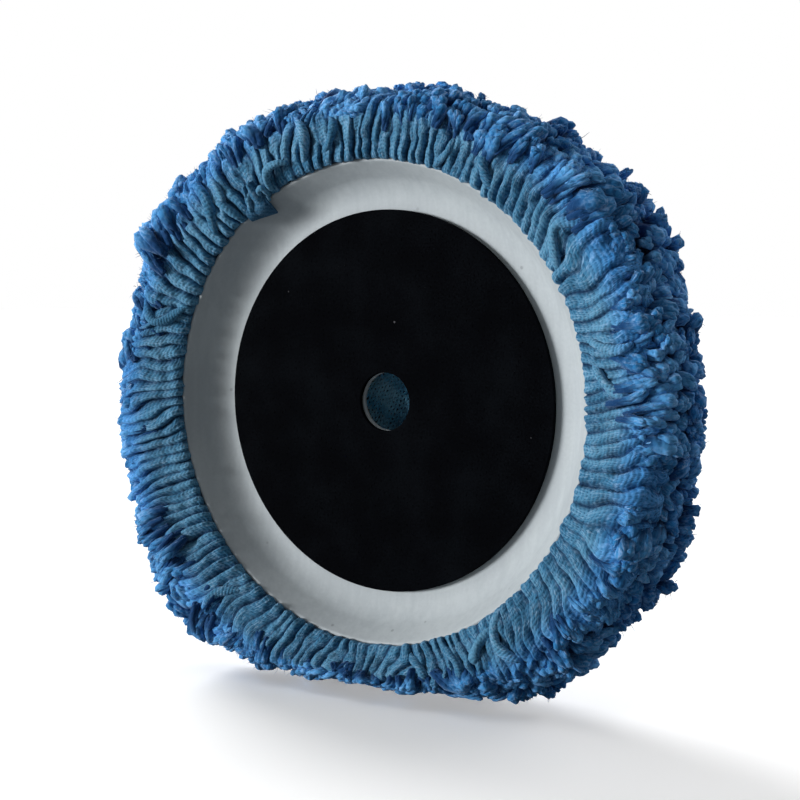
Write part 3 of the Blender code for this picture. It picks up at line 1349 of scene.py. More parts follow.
    def brush(self, zone: int) -> Surface:
        """The loose fibres of a zone's tufts: short curled hairs all over their ends.

        A hair starts on the tuft's surface and leaves it sideways and upwards, with a curl that
        grows with the square of the way along it.

        Args:
            zone: Number of the zone.

        Returns:
            The zone's hairs.
        """
        draw = np.random.default_rng(300 + zone)
        layout = self.layout(zone)
        pick = np.repeat(np.arange(len(layout.top)), self.hairs)
        count = len(pick)
        direction, size = layout.direction[pick], layout.size[pick][:, None]
        off = unit(square_to(draw.normal(0.0, 1.0, (count, 3)), direction))
        foot = layout.line(pick, draw.uniform(0.60, 1.0, (count, 1)))[:, 0]
        start = foot + off * size * 0.95
        upward = draw.uniform(0.2, 1.3, (count, 1))
        aim = unit(off + upward * direction + draw.normal(0.0, 0.3, (count, 3)))
        curl = draw.normal(0.0, 0.40, (count, 3))
        length = draw.uniform(0.7, 1.7, (count, 1)) * MM
        radius = draw.uniform(0.06, 0.12, (count, 1)) * MM
        tone = np.clip(layout.tone[pick] + draw.normal(0.15, 0.2, count), 0.0, 1.0)
        return fibres(start, length * aim, length * curl, radius, off, tone, draw)

    def bed(self) -> Surface:
        """The closed body under the tips, from the face over the roll to the skirt, coloured dark as
        painted shade for the gaps between the tufts.

        Its outer side is the outline moved in by the bed's depth and shaken by the clumps; its
        inner side is the same line moved in further, so that the body is a thick bowl.

        Returns:
            The closed surface.
        """
        innermost = 1.2 * MM
        line = self.outline.points()
        keep = evenly(line[(line[:, 0] > 2.0 * MM)], 3.2 * MM)
        tangent = unit(np.gradient(keep, axis=0))
        normal = np.stack([tangent[:, 1], -tangent[:, 0]], axis=-1)
        outer = keep - self.bed_depth * normal
        inner = keep - (self.bed_depth + self.bed_wall) * normal
        outer[:, 0] = np.maximum(outer[:, 0], innermost)
        inner[:, 0] = np.maximum(inner[:, 0], innermost)
        angle = round_turn(self.bed_segments)
        outer_points = polar(outer[:, :1], angle[None], outer[:, 1:])
        facing = polar(normal[:, :1], angle[None], normal[:, 1:])
        rough = Ripple(17, 6.0 * MM)
        shake = self.height(outer_points) + 0.5 * MM * rough.at(outer_points)
        outer_points = outer_points + facing * shake[..., None]
        inner_points = polar(inner[::-1, :1], angle[None], inner[::-1, 1:])
        points = np.concatenate([outer_points, inner_points])
        quads = grid_quads(len(points), self.bed_segments, True, True)
        flat = points.reshape(-1, 3)
        facts = np.stack([
            np.full(len(flat), 0.5),
            0.5 + 0.3 * rough.at(flat),
            np.full(len(flat), 0.2),
        ], axis=-1)
        attributes = {"lock": facts, "grain": flat / MM}
        return Surface(flat, quads, NO_TRIANGLES, attributes).outwards()

    def build(self) -> list[bpy.types.Object]:
        """Make the pile's pieces.

        Returns:
            The pieces; the bed is first.
        """
        pile = PILE_FINISH.material()
        roll = ROLL_FINISH.material()
        fuzz = FUZZ_FINISH.material()
        # The bed's dark finish is painted shade between the tufts.
        bed = self.bed().slumped(SLUMP).piece("wool_bed", BED_FINISH.material())
        pieces = [bed]
        for number, zone in enumerate(self.zones):
            dye = roll if zone == self.zones[-1] else pile
            pieces.append(self.tufts(number).slumped(SLUMP).piece(f"wool_tufts_{zone}", dye))
            pieces.append(self.brush(number).slumped(SLUMP).piece(f"wool_hairs_{zone}", fuzz))
        for obj in pieces:
            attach(obj, BODY)
        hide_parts("wool_face")
        return pieces


@dataclass
class GatheredSkirt:
    """The skirt behind the lip: a gathered cloth whose folds run out from under the lip."""

    guide: tuple[tuple[float, float], ...] = (
        (87.0 * MM, 4.5 * MM), (85.3 * MM, 7.6 * MM), (82.9 * MM, 10.3 * MM), (84.4 * MM, 11.7 * MM),
        (88.5 * MM, 12.4 * MM), (93.0 * MM, 13.9 * MM), (98.0 * MM, 15.0 * MM), (102.5 * MM, 15.2 * MM),
        (106.5 * MM, 13.4 * MM), (109.0 * MM, 9.5 * MM), (110.0 * MM, 5.0 * MM),
    )
    fold_count: int = 136
    fold_depth: float = 2.3 * MM
    wrinkle_depth: float = 1.5 * MM
    overhang: float = 0.9 * MM
    slant: float = 14.0 * MM
    rows: int = 58
    segments: int = 1480
    crossing_strands: int = 15
    strand_radius: float = 1.65 * MM
    fuzz_fibres: int = 2400

    def __post_init__(self) -> None:
        """Draw how the folds lean round the pad."""
        draw = np.random.default_rng(21)
        self.lean_waves = np.arange(2, 9)
        self.lean_phase = draw.uniform(0.0, TURN, len(self.lean_waves))
        self.lean_size = draw.uniform(0.5, 1.0, len(self.lean_waves)) / np.sqrt(self.lean_waves)

    def lean(self, angle: np.ndarray) -> np.ndarray:
        """How far the folds lean round the pad at an angle, from about -1 to 1."""
        waves = np.sin(angle[:, None] * self.lean_waves + self.lean_phase) * self.lean_size
        return np.tanh(1.1 * waves.sum(axis=1) + 0.25)

    def route(self, rise: np.ndarray, lift: np.ndarray) -> tuple[np.ndarray, np.ndarray]:
        """The line that the cloth follows: its guide, rounded by a running mean.

        Args:
            rise: Share of the way, 0 under the lip and 1 at the outer side.
            lift: Height over the line, along its normal.

        Returns:
            Radius and height.
        """
        line = evenly(np.array(self.guide), 0.25 * MM)
        span = 13
        padded = np.concatenate([np.repeat(line[:1], span, 0), line, np.repeat(line[-1:], span, 0)])
        window = np.ones(2 * span + 1) / (2 * span + 1)
        line = np.stack([np.convolve(padded[:, k], window, "valid") for k in range(2)], axis=-1)
        tangent = unit(np.gradient(line, axis=0))
        way = np.linspace(0.0, 1.0, len(line))
        radius = np.interp(rise, way, line[:, 0]) - lift * np.interp(rise, way, tangent[:, 1])
        return radius, np.interp(rise, way, line[:, 1]) + lift * np.interp(rise, way, tangent[:, 0])

    def cloth(self) -> Surface:
        """The gathered cloth: a shell over the roll whose outer side is folded.

        The folds' phase grows by the fold count round the pad. It is shifted by the patch's
        lean with the way travelled, and by smooth noise that grows outwards, so that the folds
        run regularly at the lip and wander, merge and bend further out. A fold's height is the
        sine of half its phase, to a low power, which gives round tops and sharp valleys; a
        second, broader wave bunches the folds together outwards. Each fold also hangs over to
        the side that it leans to.

        Returns:
            The closed shell, with "lock" and "grain" attributes.
        """
        angle = round_turn(self.segments)[None, :]
        rise = np.linspace(0.0, 1.0, self.rows)[:, None]
        radius, height = self.route(rise, 0.0 * rise)
        plain = polar(radius, angle, height)
        lean = self.lean(angle[0])[None, :]
        drift = self.slant * lean * rise**1.5 / radius
        wander = 1.5 * rise**0.7 * Ripple(71, 26.0 * MM).at(plain)
        wander = wander + 1.1 * rise * Ripple(72, 10.0 * MM).at(plain)
        wander = wander + 1.3 * Ripple(73, 21.0 * MM).at(plain)
        phase = self.fold_count * (angle - drift) + wander
        skewed = phase + 0.6 * np.sin(phase + 1.2 * lean)
        ridge = np.abs(np.sin(skewed / 2.0)) ** 0.8
        broad = np.abs(np.sin(phase / 4.0 + 1.4 * rise * Ripple(74, 18.0 * MM).at(plain)))
        strength = np.clip(0.80 + 0.42 * Ripple(75, 17.0 * MM).at(plain), 0.15, 1.5)
        fold = self.fold_depth * np.interp(rise, [0.0, 0.17, 0.27, 0.5, 1.0], [0.2, 0.26, 1.0, 0.95, 0.55])
        fold = fold * strength
        wrinkle = self.wrinkle_depth * np.interp(rise, [0.0, 0.2, 0.6, 1.0], [0.0, 0.35, 1.0, 0.9])
        fine = 0.10 * MM * Ripple(76, 1.7 * MM, 60).at(plain) + 0.22 * MM * Ripple(77, 5.0 * MM).at(plain)
        stand = fold * (ridge - 0.55) + wrinkle * (broad - 0.6) + fine
        radius, height = self.route(rise, stand)
        aside = self.overhang * lean * ridge * strength / radius
        outer = polar(radius, angle + aside, height)
        under_rise = np.linspace(1.0, 0.0, 4)[:, None]
        under_radius, under_height = self.route(under_rise, np.full_like(under_rise, -2.6 * MM))
        under = polar(under_radius, angle, under_height)
        points = np.concatenate([outer, under])
        quads = grid_quads(len(points), self.segments, True, True)
        # Painted shade and highlight: the rise drops to the root colour in the fold valleys and climbs on
        # the ridges, and the tone pales the ridge tops.
        crest = np.clip(0.05 + 0.72 * ridge + 0.30 * broad, 0.0, 1.0)
        tone = np.clip(0.15 + 0.45 * ridge**4 + 0.22 * Ripple(78, 16.0 * MM).at(plain), 0.0, 1.0)
        dry = np.clip(0.45 + 0.30 * Ripple(79, 6.0 * MM).at(plain), 0.0, 1.0)
        along = np.broadcast_to(rise * 34.0, phase.shape)
        locks = np.stack([crest, tone, dry], axis=-1)
        grains = np.stack([1.4 * np.cos(phase), 1.4 * np.sin(phase), along], axis=-1)
        hidden = np.zeros((len(under) * self.segments, 3))
        return Surface(points.reshape(-1, 3), quads, NO_TRIANGLES, {
            "lock": np.concatenate([locks.reshape(-1, 3), hidden]),
            "grain": np.concatenate([grains.reshape(-1, 3), hidden]),
        }).outwards()

    def crossings(self) -> Surface:
        """Folds that lie over the row at a slant, some curled back in a hook.

        Returns:
            The crossing folds.
        """
        draw = np.random.default_rng(23)
        shape = LockShape(rings=18, sides=10, twist=5.0, lobes=0.16, lump=0.05)
        count = self.crossing_strands
        rise = np.linspace(0.0, 1.0, shape.rings)
        place = np.sort(draw.uniform(0.0, TURN, count))
        begin = draw.uniform(0.20, 0.34, count)
        end = draw.uniform(0.52, 0.78, count)
        share = begin[:, None] + rise[None, :] * (end - begin)[:, None]
        arch = -0.9 * MM + 2.2 * MM * np.sin(math.pi * rise) ** 0.6
        radius, height = self.route(share, np.repeat(arch[None], count, axis=0))
        way = np.sign(self.lean(place)) * draw.uniform(5.0, 13.0, count) * MM
        hook = np.sin(rise * draw.uniform(1.4, 2.8, (count, 1)))
        centres = polar(radius, place[:, None] + way[:, None] * hook / radius, height)
        grown = np.interp(rise, [0.0, 0.2, 0.8, 1.0], [0.55, 1.0, 1.1, 0.6])
        girth = self.strand_radius * grown[None, :] * draw.lognormal(0.0, 0.15, (count, 1))
        across = np.tile(AXIS, (count, 1))
        return shape.surface(centres, girth, across, draw.uniform(0.3, 0.9, count), draw).evened(0.85)

    def _at(self, share: np.ndarray, lift: float, angle: np.ndarray) -> tuple[np.ndarray, ...]:
        """Radius, angle and height of places over the cloth's line."""
        radius, height = self.route(share, np.full_like(share, lift))
        return radius, angle, height

    def fuzz(self) -> Surface:
        """Loose fibres on the outer part of the cloth, thicker towards the pile.

        Returns:
            All fibres.
        """
        draw = np.random.default_rng(24)
        count = self.fuzz_fibres
        angle = draw.uniform(0.0, TURN, count)
        share = 0.35 + 0.60 * np.sqrt(draw.uniform(0.0, 1.0, count))
        start = polar(*self._at(share, 0.7 * MM, angle))
        facing = unit(polar(*self._at(share, 2.0 * MM, angle)) - start)
        aim = unit(0.6 * facing + draw.normal(0.0, 0.7, (count, 3)))
        curl = draw.normal(0.0, 0.5, (count, 3))
        length = draw.uniform(0.9, 2.0, (count, 1)) * MM
        radius = draw.uniform(0.05, 0.09, (count, 1)) * MM
        tone = draw.uniform(0.2, 0.9, count)
        across = unit(draw.normal(0.0, 1.0, (count, 3)))
        return fibres(start, length * aim, length * curl, radius, across, tone, draw)

    def build(self) -> list[bpy.types.Object]:
        """Make the skirt's pieces.

        Returns:
            The pieces; the gathered cloth is first.
        """
        rope = ROPE_FINISH.material()
        cloth = self.cloth().slumped(SLUMP).piece("skirt_folds", rope)
        crossings = self.crossings().slumped(SLUMP).piece("skirt_crossing_folds", rope)
        fuzz = self.fuzz().slumped(SLUMP).piece("skirt_fuzz", ROLL_FINISH.material())
        pieces = [cloth, crossings, fuzz]
        for obj in pieces:
            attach(obj, BODY)
        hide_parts("wool_skirt")
        return pieces


# ---------------------------------------------------------------- dish, loops and inside


@dataclass
class BackingDish:
    """The moulded dish: flat floor, hollow fillet, sloped wall and rounded lip."""

    floor_y: float
    bottom_y: float
    hole_radius: float = 10.2 * MM
    floor_radius: float = 69.5 * MM
    fillet_radius: float = 11.0 * MM
    wall_slope: float = math.radians(55.0)
    lip_radius: float = 83.0 * MM
    segments: int = 288

    @property
    def thickness(self) -> float:
        """The dish's wall thickness."""
        return self.floor_y - self.bottom_y

    def outline(self) -> np.ndarray:
        """The closed section: floor, fillet arc, straight wall, lip arc, and back underneath.

        Returns:
            (radius, height) points.
        """
        centre = (self.floor_radius, self.floor_y + self.fillet_radius)
        down = -math.pi / 2
        fillet = arc(centre, self.fillet_radius, down, down + self.wall_slope, 22)
        foot = fillet[-1]
        top = np.array([self.lip_radius, foot[1] + (self.lip_radius - foot[0]) * math.tan(self.wall_slope)])
        half = self.thickness / 2
        middle = top + half * np.array([math.sin(self.wall_slope), -math.cos(self.wall_slope)])
        begin = math.pi / 2 + self.wall_slope
        lip = arc((middle[0], middle[1]), half, begin, begin - math.pi, 12)
        under = arc(centre, self.fillet_radius + self.thickness, down + self.wall_slope, down, 22)
        ease = 0.25 * MM
        floor = np.array([
            [self.hole_radius, self.floor_y - ease],
            [self.hole_radius + ease, self.floor_y],
            [self.hole_radius + 3 * ease, self.floor_y],
            [(self.hole_radius + self.floor_radius) / 2, self.floor_y],
        ])
        beneath = np.array([
            [(self.hole_radius + self.floor_radius) / 2, self.bottom_y],
            [self.hole_radius + ease, self.bottom_y],
            [self.hole_radius, self.bottom_y + ease],
        ])
        wall = evenly(np.stack([foot, top]), 0.8 * MM)[1:-1]
        return np.concatenate([floor, fillet, wall, lip, under, beneath])

    def surface(self) -> Surface:
        """Turn the section, with a slight waver of the lip as moulded foam has.

        Returns:
            The closed surface.
        """
        outline = self.outline()
        angle = round_turn(self.segments)
        waver = 0.12 * MM * np.sin(3 * angle + 0.4) + 0.10 * MM * np.sin(7 * angle + 2.0)
        share = np.clip((outline[:, 0] - self.floor_radius) / (self.lip_radius - self.floor_radius), 0, 1)
        lift = share[:, None, None] * waver[None, :, None] * np.array([0.6, 1.0])
        return turned(outline, self.segments, lift)

    def build(self) -> list[bpy.types.Object]:
        """Make the dish.

        Returns:
            One piece.
        """
        dish = self.surface().piece("moulded_dish", MouldedFoamFinish().material())
        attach(dish, BODY)
        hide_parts("backing_dish")
        return [dish]


@dataclass
class LoopDisc:
    """The disc of brushed loop fabric that the backing plate grips, and its nap of loops."""

    radius: float
    thickness: float
    hole_radius: float = 10.2 * MM
    edge_round: float = 0.35 * MM
    segments: int = 288
    loops: int = 3000
    loop_size: float = 0.42 * MM
    loop_rise: float = 0.55
    yarn_radius: float = 0.075 * MM

    def cloth(self) -> Surface:
        """A washer with softly rounded rims.

        Returns:
            The closed surface.
        """
        soft = self.edge_round
        outer = arc((self.radius - soft, -soft), soft, 0.0, math.pi / 2, 5)
        inner = arc((self.hole_radius + soft, -soft), soft, math.pi / 2, math.pi, 5)
        between = np.linspace(self.radius - 2 * soft, self.hole_radius + 2 * soft, 14)
        top = np.stack([between, np.zeros(14)], axis=-1)
        bottom = np.array([
            [self.hole_radius, -self.thickness],
            [(self.hole_radius + self.radius) / 2, -self.thickness],
            [self.radius, -self.thickness],
        ])
        return turned(np.concatenate([outer, top, inner, bottom]), self.segments)

    def nap(self) -> Surface:
        """Loops that stand on the cloth: half circles of fine yarn in random planes.

        Returns:
            All loops.
        """
        draw = np.random.default_rng(31)
        number = np.arange(self.loops)
        inside, outside = self.hole_radius + 0.8 * MM, self.radius - 0.8 * MM
        radius = np.sqrt(inside**2 + (outside**2 - inside**2) * (number + 0.5) / self.loops)
        angle = number * GOLDEN_ANGLE + draw.normal(0.0, 0.4 * MM, self.loops) / radius
        base = polar(radius, angle, np.full(self.loops, -0.12 * MM))
        heading = draw.uniform(0.0, TURN, self.loops)
        along = np.stack([np.cos(heading), draw.normal(0.0, 0.15, self.loops), np.sin(heading)], axis=-1)
        size = self.loop_size * draw.uniform(0.7, 1.25, self.loops)
        shape = LockShape(rings=4, sides=3, twist=0.0, lobes=0.0, lump=0.0)
        turn = np.linspace(0.0, math.pi, shape.rings)[None, :, None]
        arch = along[:, None] * np.cos(turn) + self.loop_rise * AXIS * np.sin(turn)
        centres = base[:, None] + size[:, None, None] * arch
        girth = np.full((self.loops, shape.rings), self.yarn_radius)
        across = np.cross(unit(along), AXIS)
        tone = draw.uniform(0.0, 1.0, self.loops)
        return shape.surface(centres, girth, across, tone, draw)

    def build(self) -> list[bpy.types.Object]:
        """Make the disc and its nap.

        Returns:
            The cloth and the loops.
        """
        material = LoopFabricFinish().material()
        cloth = self.cloth().piece("loop_cloth", material)
        nap = self.nap().piece("loop_nap", material)
        for obj in (cloth, nap):
            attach(obj, BODY)
        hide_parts("loop_disc")
        area = math.pi * (self.radius**2 - self.hole_radius**2)
        side = 2 * self.radius
        return [cloth, nap]


@dataclass
class FoamCushion:
    """The soft cushion between dish and knit: a ring, flared where the dish's wall rises."""

    top_y: float
    bottom_y: float
    radius: float = 88.5 * MM
    hole_radius: float = 18.0 * MM
    dish_radius: float = 70.5 * MM
    flare_y: float = 4.4 * MM
    bevel_width: float = 6.0 * MM
    bevel_height: float = 3.0 * MM
    edge_round: float = 4.0 * MM
    segments: int = 128

    def surface(self) -> Surface:
        """Turn the section, with a small uneven bulge on its sides.

        Returns:
            The closed surface.
        """
        shoulder = self.top_y + self.flare_y
        upper = np.array([
            [self.hole_radius, self.top_y],
            [self.dish_radius, self.top_y],
            [self.radius - self.bevel_width, shoulder],
            [self.radius, shoulder - self.bevel_height],
            [self.radius, self.bottom_y + self.edge_round],
        ])
        corner = (self.radius - self.edge_round, self.bottom_y + self.edge_round)
        lower = arc(corner, self.edge_round, 0.0, -math.pi / 2, 8)[1:]
        close = np.array([[self.hole_radius, self.bottom_y]])
        line = evenly(np.concatenate([upper, lower, close]), 1.6 * MM)
        inner_y = np.linspace(self.bottom_y, self.top_y, 7)[1:-1]
        inner = np.stack([np.full(5, self.hole_radius), inner_y], axis=-1)
        outline = np.concatenate([line, inner])
        points = polar(outline[:, :1], round_turn(self.segments)[None], outline[:, 1:])
        sag = 0.08 * MM * Ripple(41, 16.0 * MM).at(points)
        lift = np.stack([-np.abs(sag), np.zeros_like(sag)], axis=-1)
        return turned(outline, self.segments, lift)

    def build(self) -> list[bpy.types.Object]:
        """Make the cushion.

        Returns:
            One piece.
        """
        cushion = self.surface().piece("cushion_ring", OpenFoamFinish().material())
        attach(cushion, BODY)
        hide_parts("foam_cushion")
        return [cushion]


@dataclass
class KnittedCap:
    """The knitted ground that carries the pile: a face, a side wall and a gathered hem."""

    top_y: float
    radius: float
    hem_radius: float = 86.6 * MM
    hem_y: float = 7.5 * MM
    thickness: float = 1.3 * MM
    corner: float = 9.0 * MM
    shoulder: float = 5.0 * MM
    shoulder_y: float = 3.0 * MM
    shoulder_turn: float = math.radians(70.0)
    blank_radius: float = 118.0 * MM
    hub_radius: float = 17.0 * MM
    segments: int = 180

    def side_line(self, offset: float) -> np.ndarray:
        """The cap's section moved out by an offset: face, corner arc, shoulder arc and hem.

        Args:
            offset: Distance over the outer side; the inner side is at minus the thickness.

        Returns:
            (radius, height) points from the axis to the hem.
        """
        corner = (self.radius - self.corner, self.top_y - self.thickness + self.corner)
        bend = arc(corner, self.corner + offset, -math.pi / 2, 0.0, 12)
        shoulder = (self.radius - self.shoulder, self.shoulder_y)
        over = arc(shoulder, self.shoulder + offset, 0.0, self.shoulder_turn, 10)
        face = np.stack([np.linspace(0.6 * MM, bend[0, 0] - 2 * MM, 16), np.full(16, bend[0, 1])], axis=-1)
        hem = np.array([[self.hem_radius, self.hem_y + offset]])
        return np.concatenate([face, bend, over, hem])

    def cloth(self) -> Surface:
        """Turn the section; the shoulder and hem are gathered into small pleats.

        Returns:
            The closed shell.
        """
        outline = np.concatenate([self.side_line(0.0), self.side_line(-self.thickness)[::-1]])
        angle = round_turn(self.segments)
        near_hem = np.clip((outline[:, 1] - self.shoulder_y) / (self.hem_y - self.shoulder_y), 0.0, 1.0)
        pleat = 0.22 * MM * np.sin(angle * (self.segments / 4))
        lift = near_hem[:, None, None] * pleat[None, :, None] * np.array([0.0, 1.0])
        return turned(outline, self.segments, lift)

    def hub_yarn(self) -> Surface:
        """Rows of stitches on the inner face, seen through the centring hole.

        Each row is one yarn whose side step is a sine of the way along it, and whose height is
        a sine of twice that, so that neighbouring rows hook into each other.

        Returns:
            All rows.
        """
        draw = np.random.default_rng(51)
        pitch = 1.9 * MM
        rows = int(2 * self.hub_radius / pitch)
        offset = (np.arange(rows) - (rows - 1) / 2) * pitch
        half = np.sqrt(np.maximum(self.hub_radius**2 - offset**2, (3 * MM) ** 2))
        rings = 96
        along = np.linspace(-1.0, 1.0, rings)[None, :] * half[:, None]
        wave = TURN * along / (2.3 * MM)
        side = offset[:, None] + 0.62 * pitch * np.sin(wave)
        height = self.top_y + 0.62 * MM + 0.34 * MM * np.cos(2 * wave)
        height = height + 0.5 * MM * Ripple(52, 9 * MM).at(np.stack([along, 0 * along, side], axis=-1))
        tilt = 0.5
        x = along * math.cos(tilt) - side * math.sin(tilt)
        z = along * math.sin(tilt) + side * math.cos(tilt)
        centres = np.stack([x, height, z], axis=-1)
        girth = 0.46 * MM * draw.uniform(0.85, 1.15, (rows, rings))
        across = np.tile(AXIS, (rows, 1))
        shape = LockShape(rings=rings, sides=6, twist=60.0, lobes=0.10, lump=0.05)
        return shape.surface(centres, girth, across, draw.uniform(0.2, 0.8, rows), draw)

    def build(self) -> list[bpy.types.Object]:
        """Make the cap and the hub's stitches.

        Returns:
            The cloth and the stitches.
        """
        cloth = self.cloth().piece("knit_cap", KnitFinish().material())
        yarn = self.hub_yarn().piece("knit_hub_stitches", YARN_FINISH.material())
        for obj in (cloth, yarn):
            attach(obj, BODY)
        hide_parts("knitted_backing")
        side = 2 * self.blank_radius
        area = math.pi * self.blank_radius**2
        return [cloth, yarn]


@dataclass
class GatherCord:
    """The two-ply cord in the hem that pulls the skirt in under the lip."""

    ring_radius: float
    height: float
    radius: float
    plies: int = 2
    ply_girth: float = 0.56
    turns: int = 96
    rings: int = 960
    sides: int = 6

    def surface(self) -> Surface:
        """Two plies round one closed circle: each is a helix wound on the cord's own circle.

        Returns:
            The closed surfaces of both plies.
        """
        along = round_turn(self.rings)
        half = self.radius / 2
        out = polar(np.ones(self.rings), along, np.zeros(self.rings))
        turn = round_turn(self.sides)[None, :, None]
        spoke = np.cos(turn) * out[:, None, :] + np.sin(turn) * AXIS
        made = None
        for start in round_turn(self.plies):
            wind = self.turns * along + start
            middle = polar(self.ring_radius + half * np.cos(wind), along, self.height + half * np.sin(wind))
            points = (middle[:, None, :] + self.ply_girth * self.radius * spoke).reshape(-1, 3)
            quads = grid_quads(self.rings, self.sides, True, True)
            facts = np.tile(np.array([0.6, 0.5, 0.3]), (len(points), 1))
            attributes = {"lock": facts, "grain": points / (0.4 * MM)}
            part = Surface(points, quads, NO_TRIANGLES, attributes).outwards()
            made = part if made is None else made.joined(part)
        return made

    def build(self) -> list[bpy.types.Object]:
        """Make the cord.

        Returns:
            One piece.
        """
        cord = self.surface().piece("hem_cord", ROPE_FINISH.material())
        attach(cord, BODY)
        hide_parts("gather_cord")
        return [cord]


@dataclass(frozen=True)
class TuckFold:
    """A raised fold of the tuck: three guide points as (across, along), its radius and tone."""

    start: tuple[float, float]
    bend: tuple[float, float]
    end: tuple[float, float]
    radius: float
    tone: float


@dataclass
class HemTuck:
    """The loose tuck of the hem: a tent of cloth that hangs over the lip, with raised folds."""

    angle: float
    width: float
    lip_middle: tuple[float, float]
    lip_reach: float
    reach: float = 5.2 * MM
    slant: float = 4.5 * MM
    flap_length: float = 16.0 * MM
    wall_slope: float = math.radians(55.0)
    thickness: float = 0.9 * MM
    rows: int = 44
    columns: int = 61
    folds: tuple[TuckFold, ...] = (
        TuckFold((-3.2 * MM, 6.5 * MM), (-1.5 * MM, 11.0 * MM), (3.5 * MM, 14.1 * MM), 1.15 * MM, 0.9),
        TuckFold((1.5 * MM, 7.9 * MM), (11.0 * MM, 18.0 * MM), (6.2 * MM, 5.8 * MM), 1.00 * MM, 0.7),
        TuckFold((9.0 * MM, 8.0 * MM), (12.0 * MM, 20.0 * MM), (21.0 * MM, 14.5 * MM), 1.40 * MM, 0.8),
        TuckFold((-7.6 * MM, 6.4 * MM), (-6.0 * MM, 13.0 * MM), (-9.0 * MM, 19.0 * MM), 1.40 * MM, 0.5),
    )

    def route(self) -> np.ndarray:
        """The tuck's middle line: up the dish's wall, round the lip, and out over the skirt.

        Returns:
            (radius, height) points, 0.1 mm apart.
        """
        begin = math.pi / 2 + self.wall_slope
        over = arc(self.lip_middle, self.lip_reach, begin, math.radians(35.0), 14)
        tip = over[0] - self.reach * np.array([math.cos(self.wall_slope), math.sin(self.wall_slope)])
        steps = np.array([[2.4, 2.6], [5.4, 4.6], [9.5, 6.2], [14.0, 7.0]]) * MM
        return evenly(np.concatenate([tip[None], over, over[-1] + steps]), 0.1 * MM)

    def on_route(self, across: np.ndarray, along: np.ndarray, lift: np.ndarray) -> np.ndarray:
        """Points over the tuck's route.

        Args:
            across: Distances to the side of the middle line.
            along: Distances along it from the flap's tip.
            lift: Heights over it.

        Returns:
            The points.
        """
        line = self.route()
        way = np.arange(len(line)) * 0.1 * MM
        tangent = unit(np.gradient(line, axis=0))
        radius = np.interp(along, way, line[:, 0]) - lift * np.interp(along, way, tangent[:, 1])
        height = np.interp(along, way, line[:, 1]) + lift * np.interp(along, way, tangent[:, 0])
        return polar(radius, self.angle + across / self.lip_middle[0], height)

    def flap(self) -> Surface:
        """The flap: a tent of cloth, smooth and wide at the tip, creased and narrow at the top.

        Its creases are the sine of the way across, and they run together at the top. Its lower
        edge is cut askew, so that one corner hangs lower, and the tent leans the other way.

        Returns:
            A closed shell.
        """
        rise = np.linspace(0.0, 1.0, self.rows)[:, None]
        across = np.linspace(-1.0, 1.0, self.columns)[None, :]
        half = 0.5 * self.width * np.interp(rise, [0.0, 0.30, 0.55, 1.0], [0.84, 0.92, 0.80, 0.34])
        hang = 2.3 * MM * (1.0 - rise) ** 2 * (1.0 - across)
        along = rise * self.flap_length + hang + 0.2 * MM * (1.0 - rise)
        creased = np.interp(rise, [0.0, 0.25, 0.5, 1.0], [0.05, 0.30, 1.0, 0.9])
        crease = 1.8 * MM * np.abs(np.sin(2.6 * across + 0.8)) ** 0.8 * creased
        edge = -0.9 * MM * np.abs(across) ** 6 * creased
        tent = 1.0 * MM * np.sin(math.pi * np.clip(rise, 0.0, 1.0)) + 0.35 * MM
        side = across * half + self.slant * (rise - 0.15)
        sides = [self.on_route(side, along, lift + crease + edge + tent) for lift in (self.thickness, 0.0)]
        points = np.concatenate([sides[0], sides[1][:, ::-1]], axis=1)
        quads = np.concatenate([
            grid_quads(self.rows, points.shape[1], False, True), self._end_caps(points.shape[1])
        ])
        flat = points.reshape(-1, 3)
        lit = np.clip(0.50 + 0.30 * crease / (1.5 * MM), 0.0, 1.0)
        both = np.concatenate([lit, lit[:, ::-1]], axis=1)
        facts = np.stack([both.ravel(), np.full(len(flat), 0.30), np.full(len(flat), 0.35)], axis=-1)
        return Surface(flat, quads, NO_TRIANGLES, {"lock": facts, "grain": flat / MM}).outwards()

    def _end_caps(self, around: int) -> np.ndarray:
        """Quads that close the first and the last row, across the flap's thickness.

        Args:
            around: Points round one row.

        Returns:
            The quads.
        """
        step = np.arange(self.columns - 1)
        facing = around - 1 - step
        first = np.stack([step, facing, facing - 1, step + 1], axis=-1)
        last = first[:, ::-1] + (self.rows - 1) * around
        return np.concatenate([first[:, ::-1], last[:, ::-1]])[:, ::-1]

    def ridges(self) -> Surface:
        """The raised folds: round cords of cloth on curves through their guide points.

        A curve's point at t is (1 - t)^2 start + 2 t (1 - t) bend + t^2 end.

        Returns:
            The folds.
        """
        draw = np.random.default_rng(61)
        shape = LockShape(rings=26, sides=10, twist=6.0, lobes=0.12, lump=0.05)
        way = np.linspace(0.0, 1.0, shape.rings)[None, :, None]
        start = np.array([fold.start for fold in self.folds])[:, None]
        bend = np.array([fold.bend for fold in self.folds])[:, None]
        end = np.array([fold.end for fold in self.folds])[:, None]
        curve = (1 - way) ** 2 * start + 2 * way * (1 - way) * bend + way**2 * end
        lift = 1.1 * MM + 1.4 * MM * np.sin(math.pi * way[..., 0])
        centres = self.on_route(curve[..., 0], curve[..., 1], np.repeat(lift, len(self.folds), axis=0))
        size = np.array([fold.radius for fold in self.folds])[:, None]
        girth = size * np.interp(way[..., 0], [0.0, 0.15, 0.85, 1.0], [0.6, 1.0, 1.05, 0.6])
        across = np.tile(AXIS, (len(self.folds), 1))
        tone = np.array([fold.tone for fold in self.folds])
        return shape.surface(centres, girth, across, tone, draw).evened(0.9)

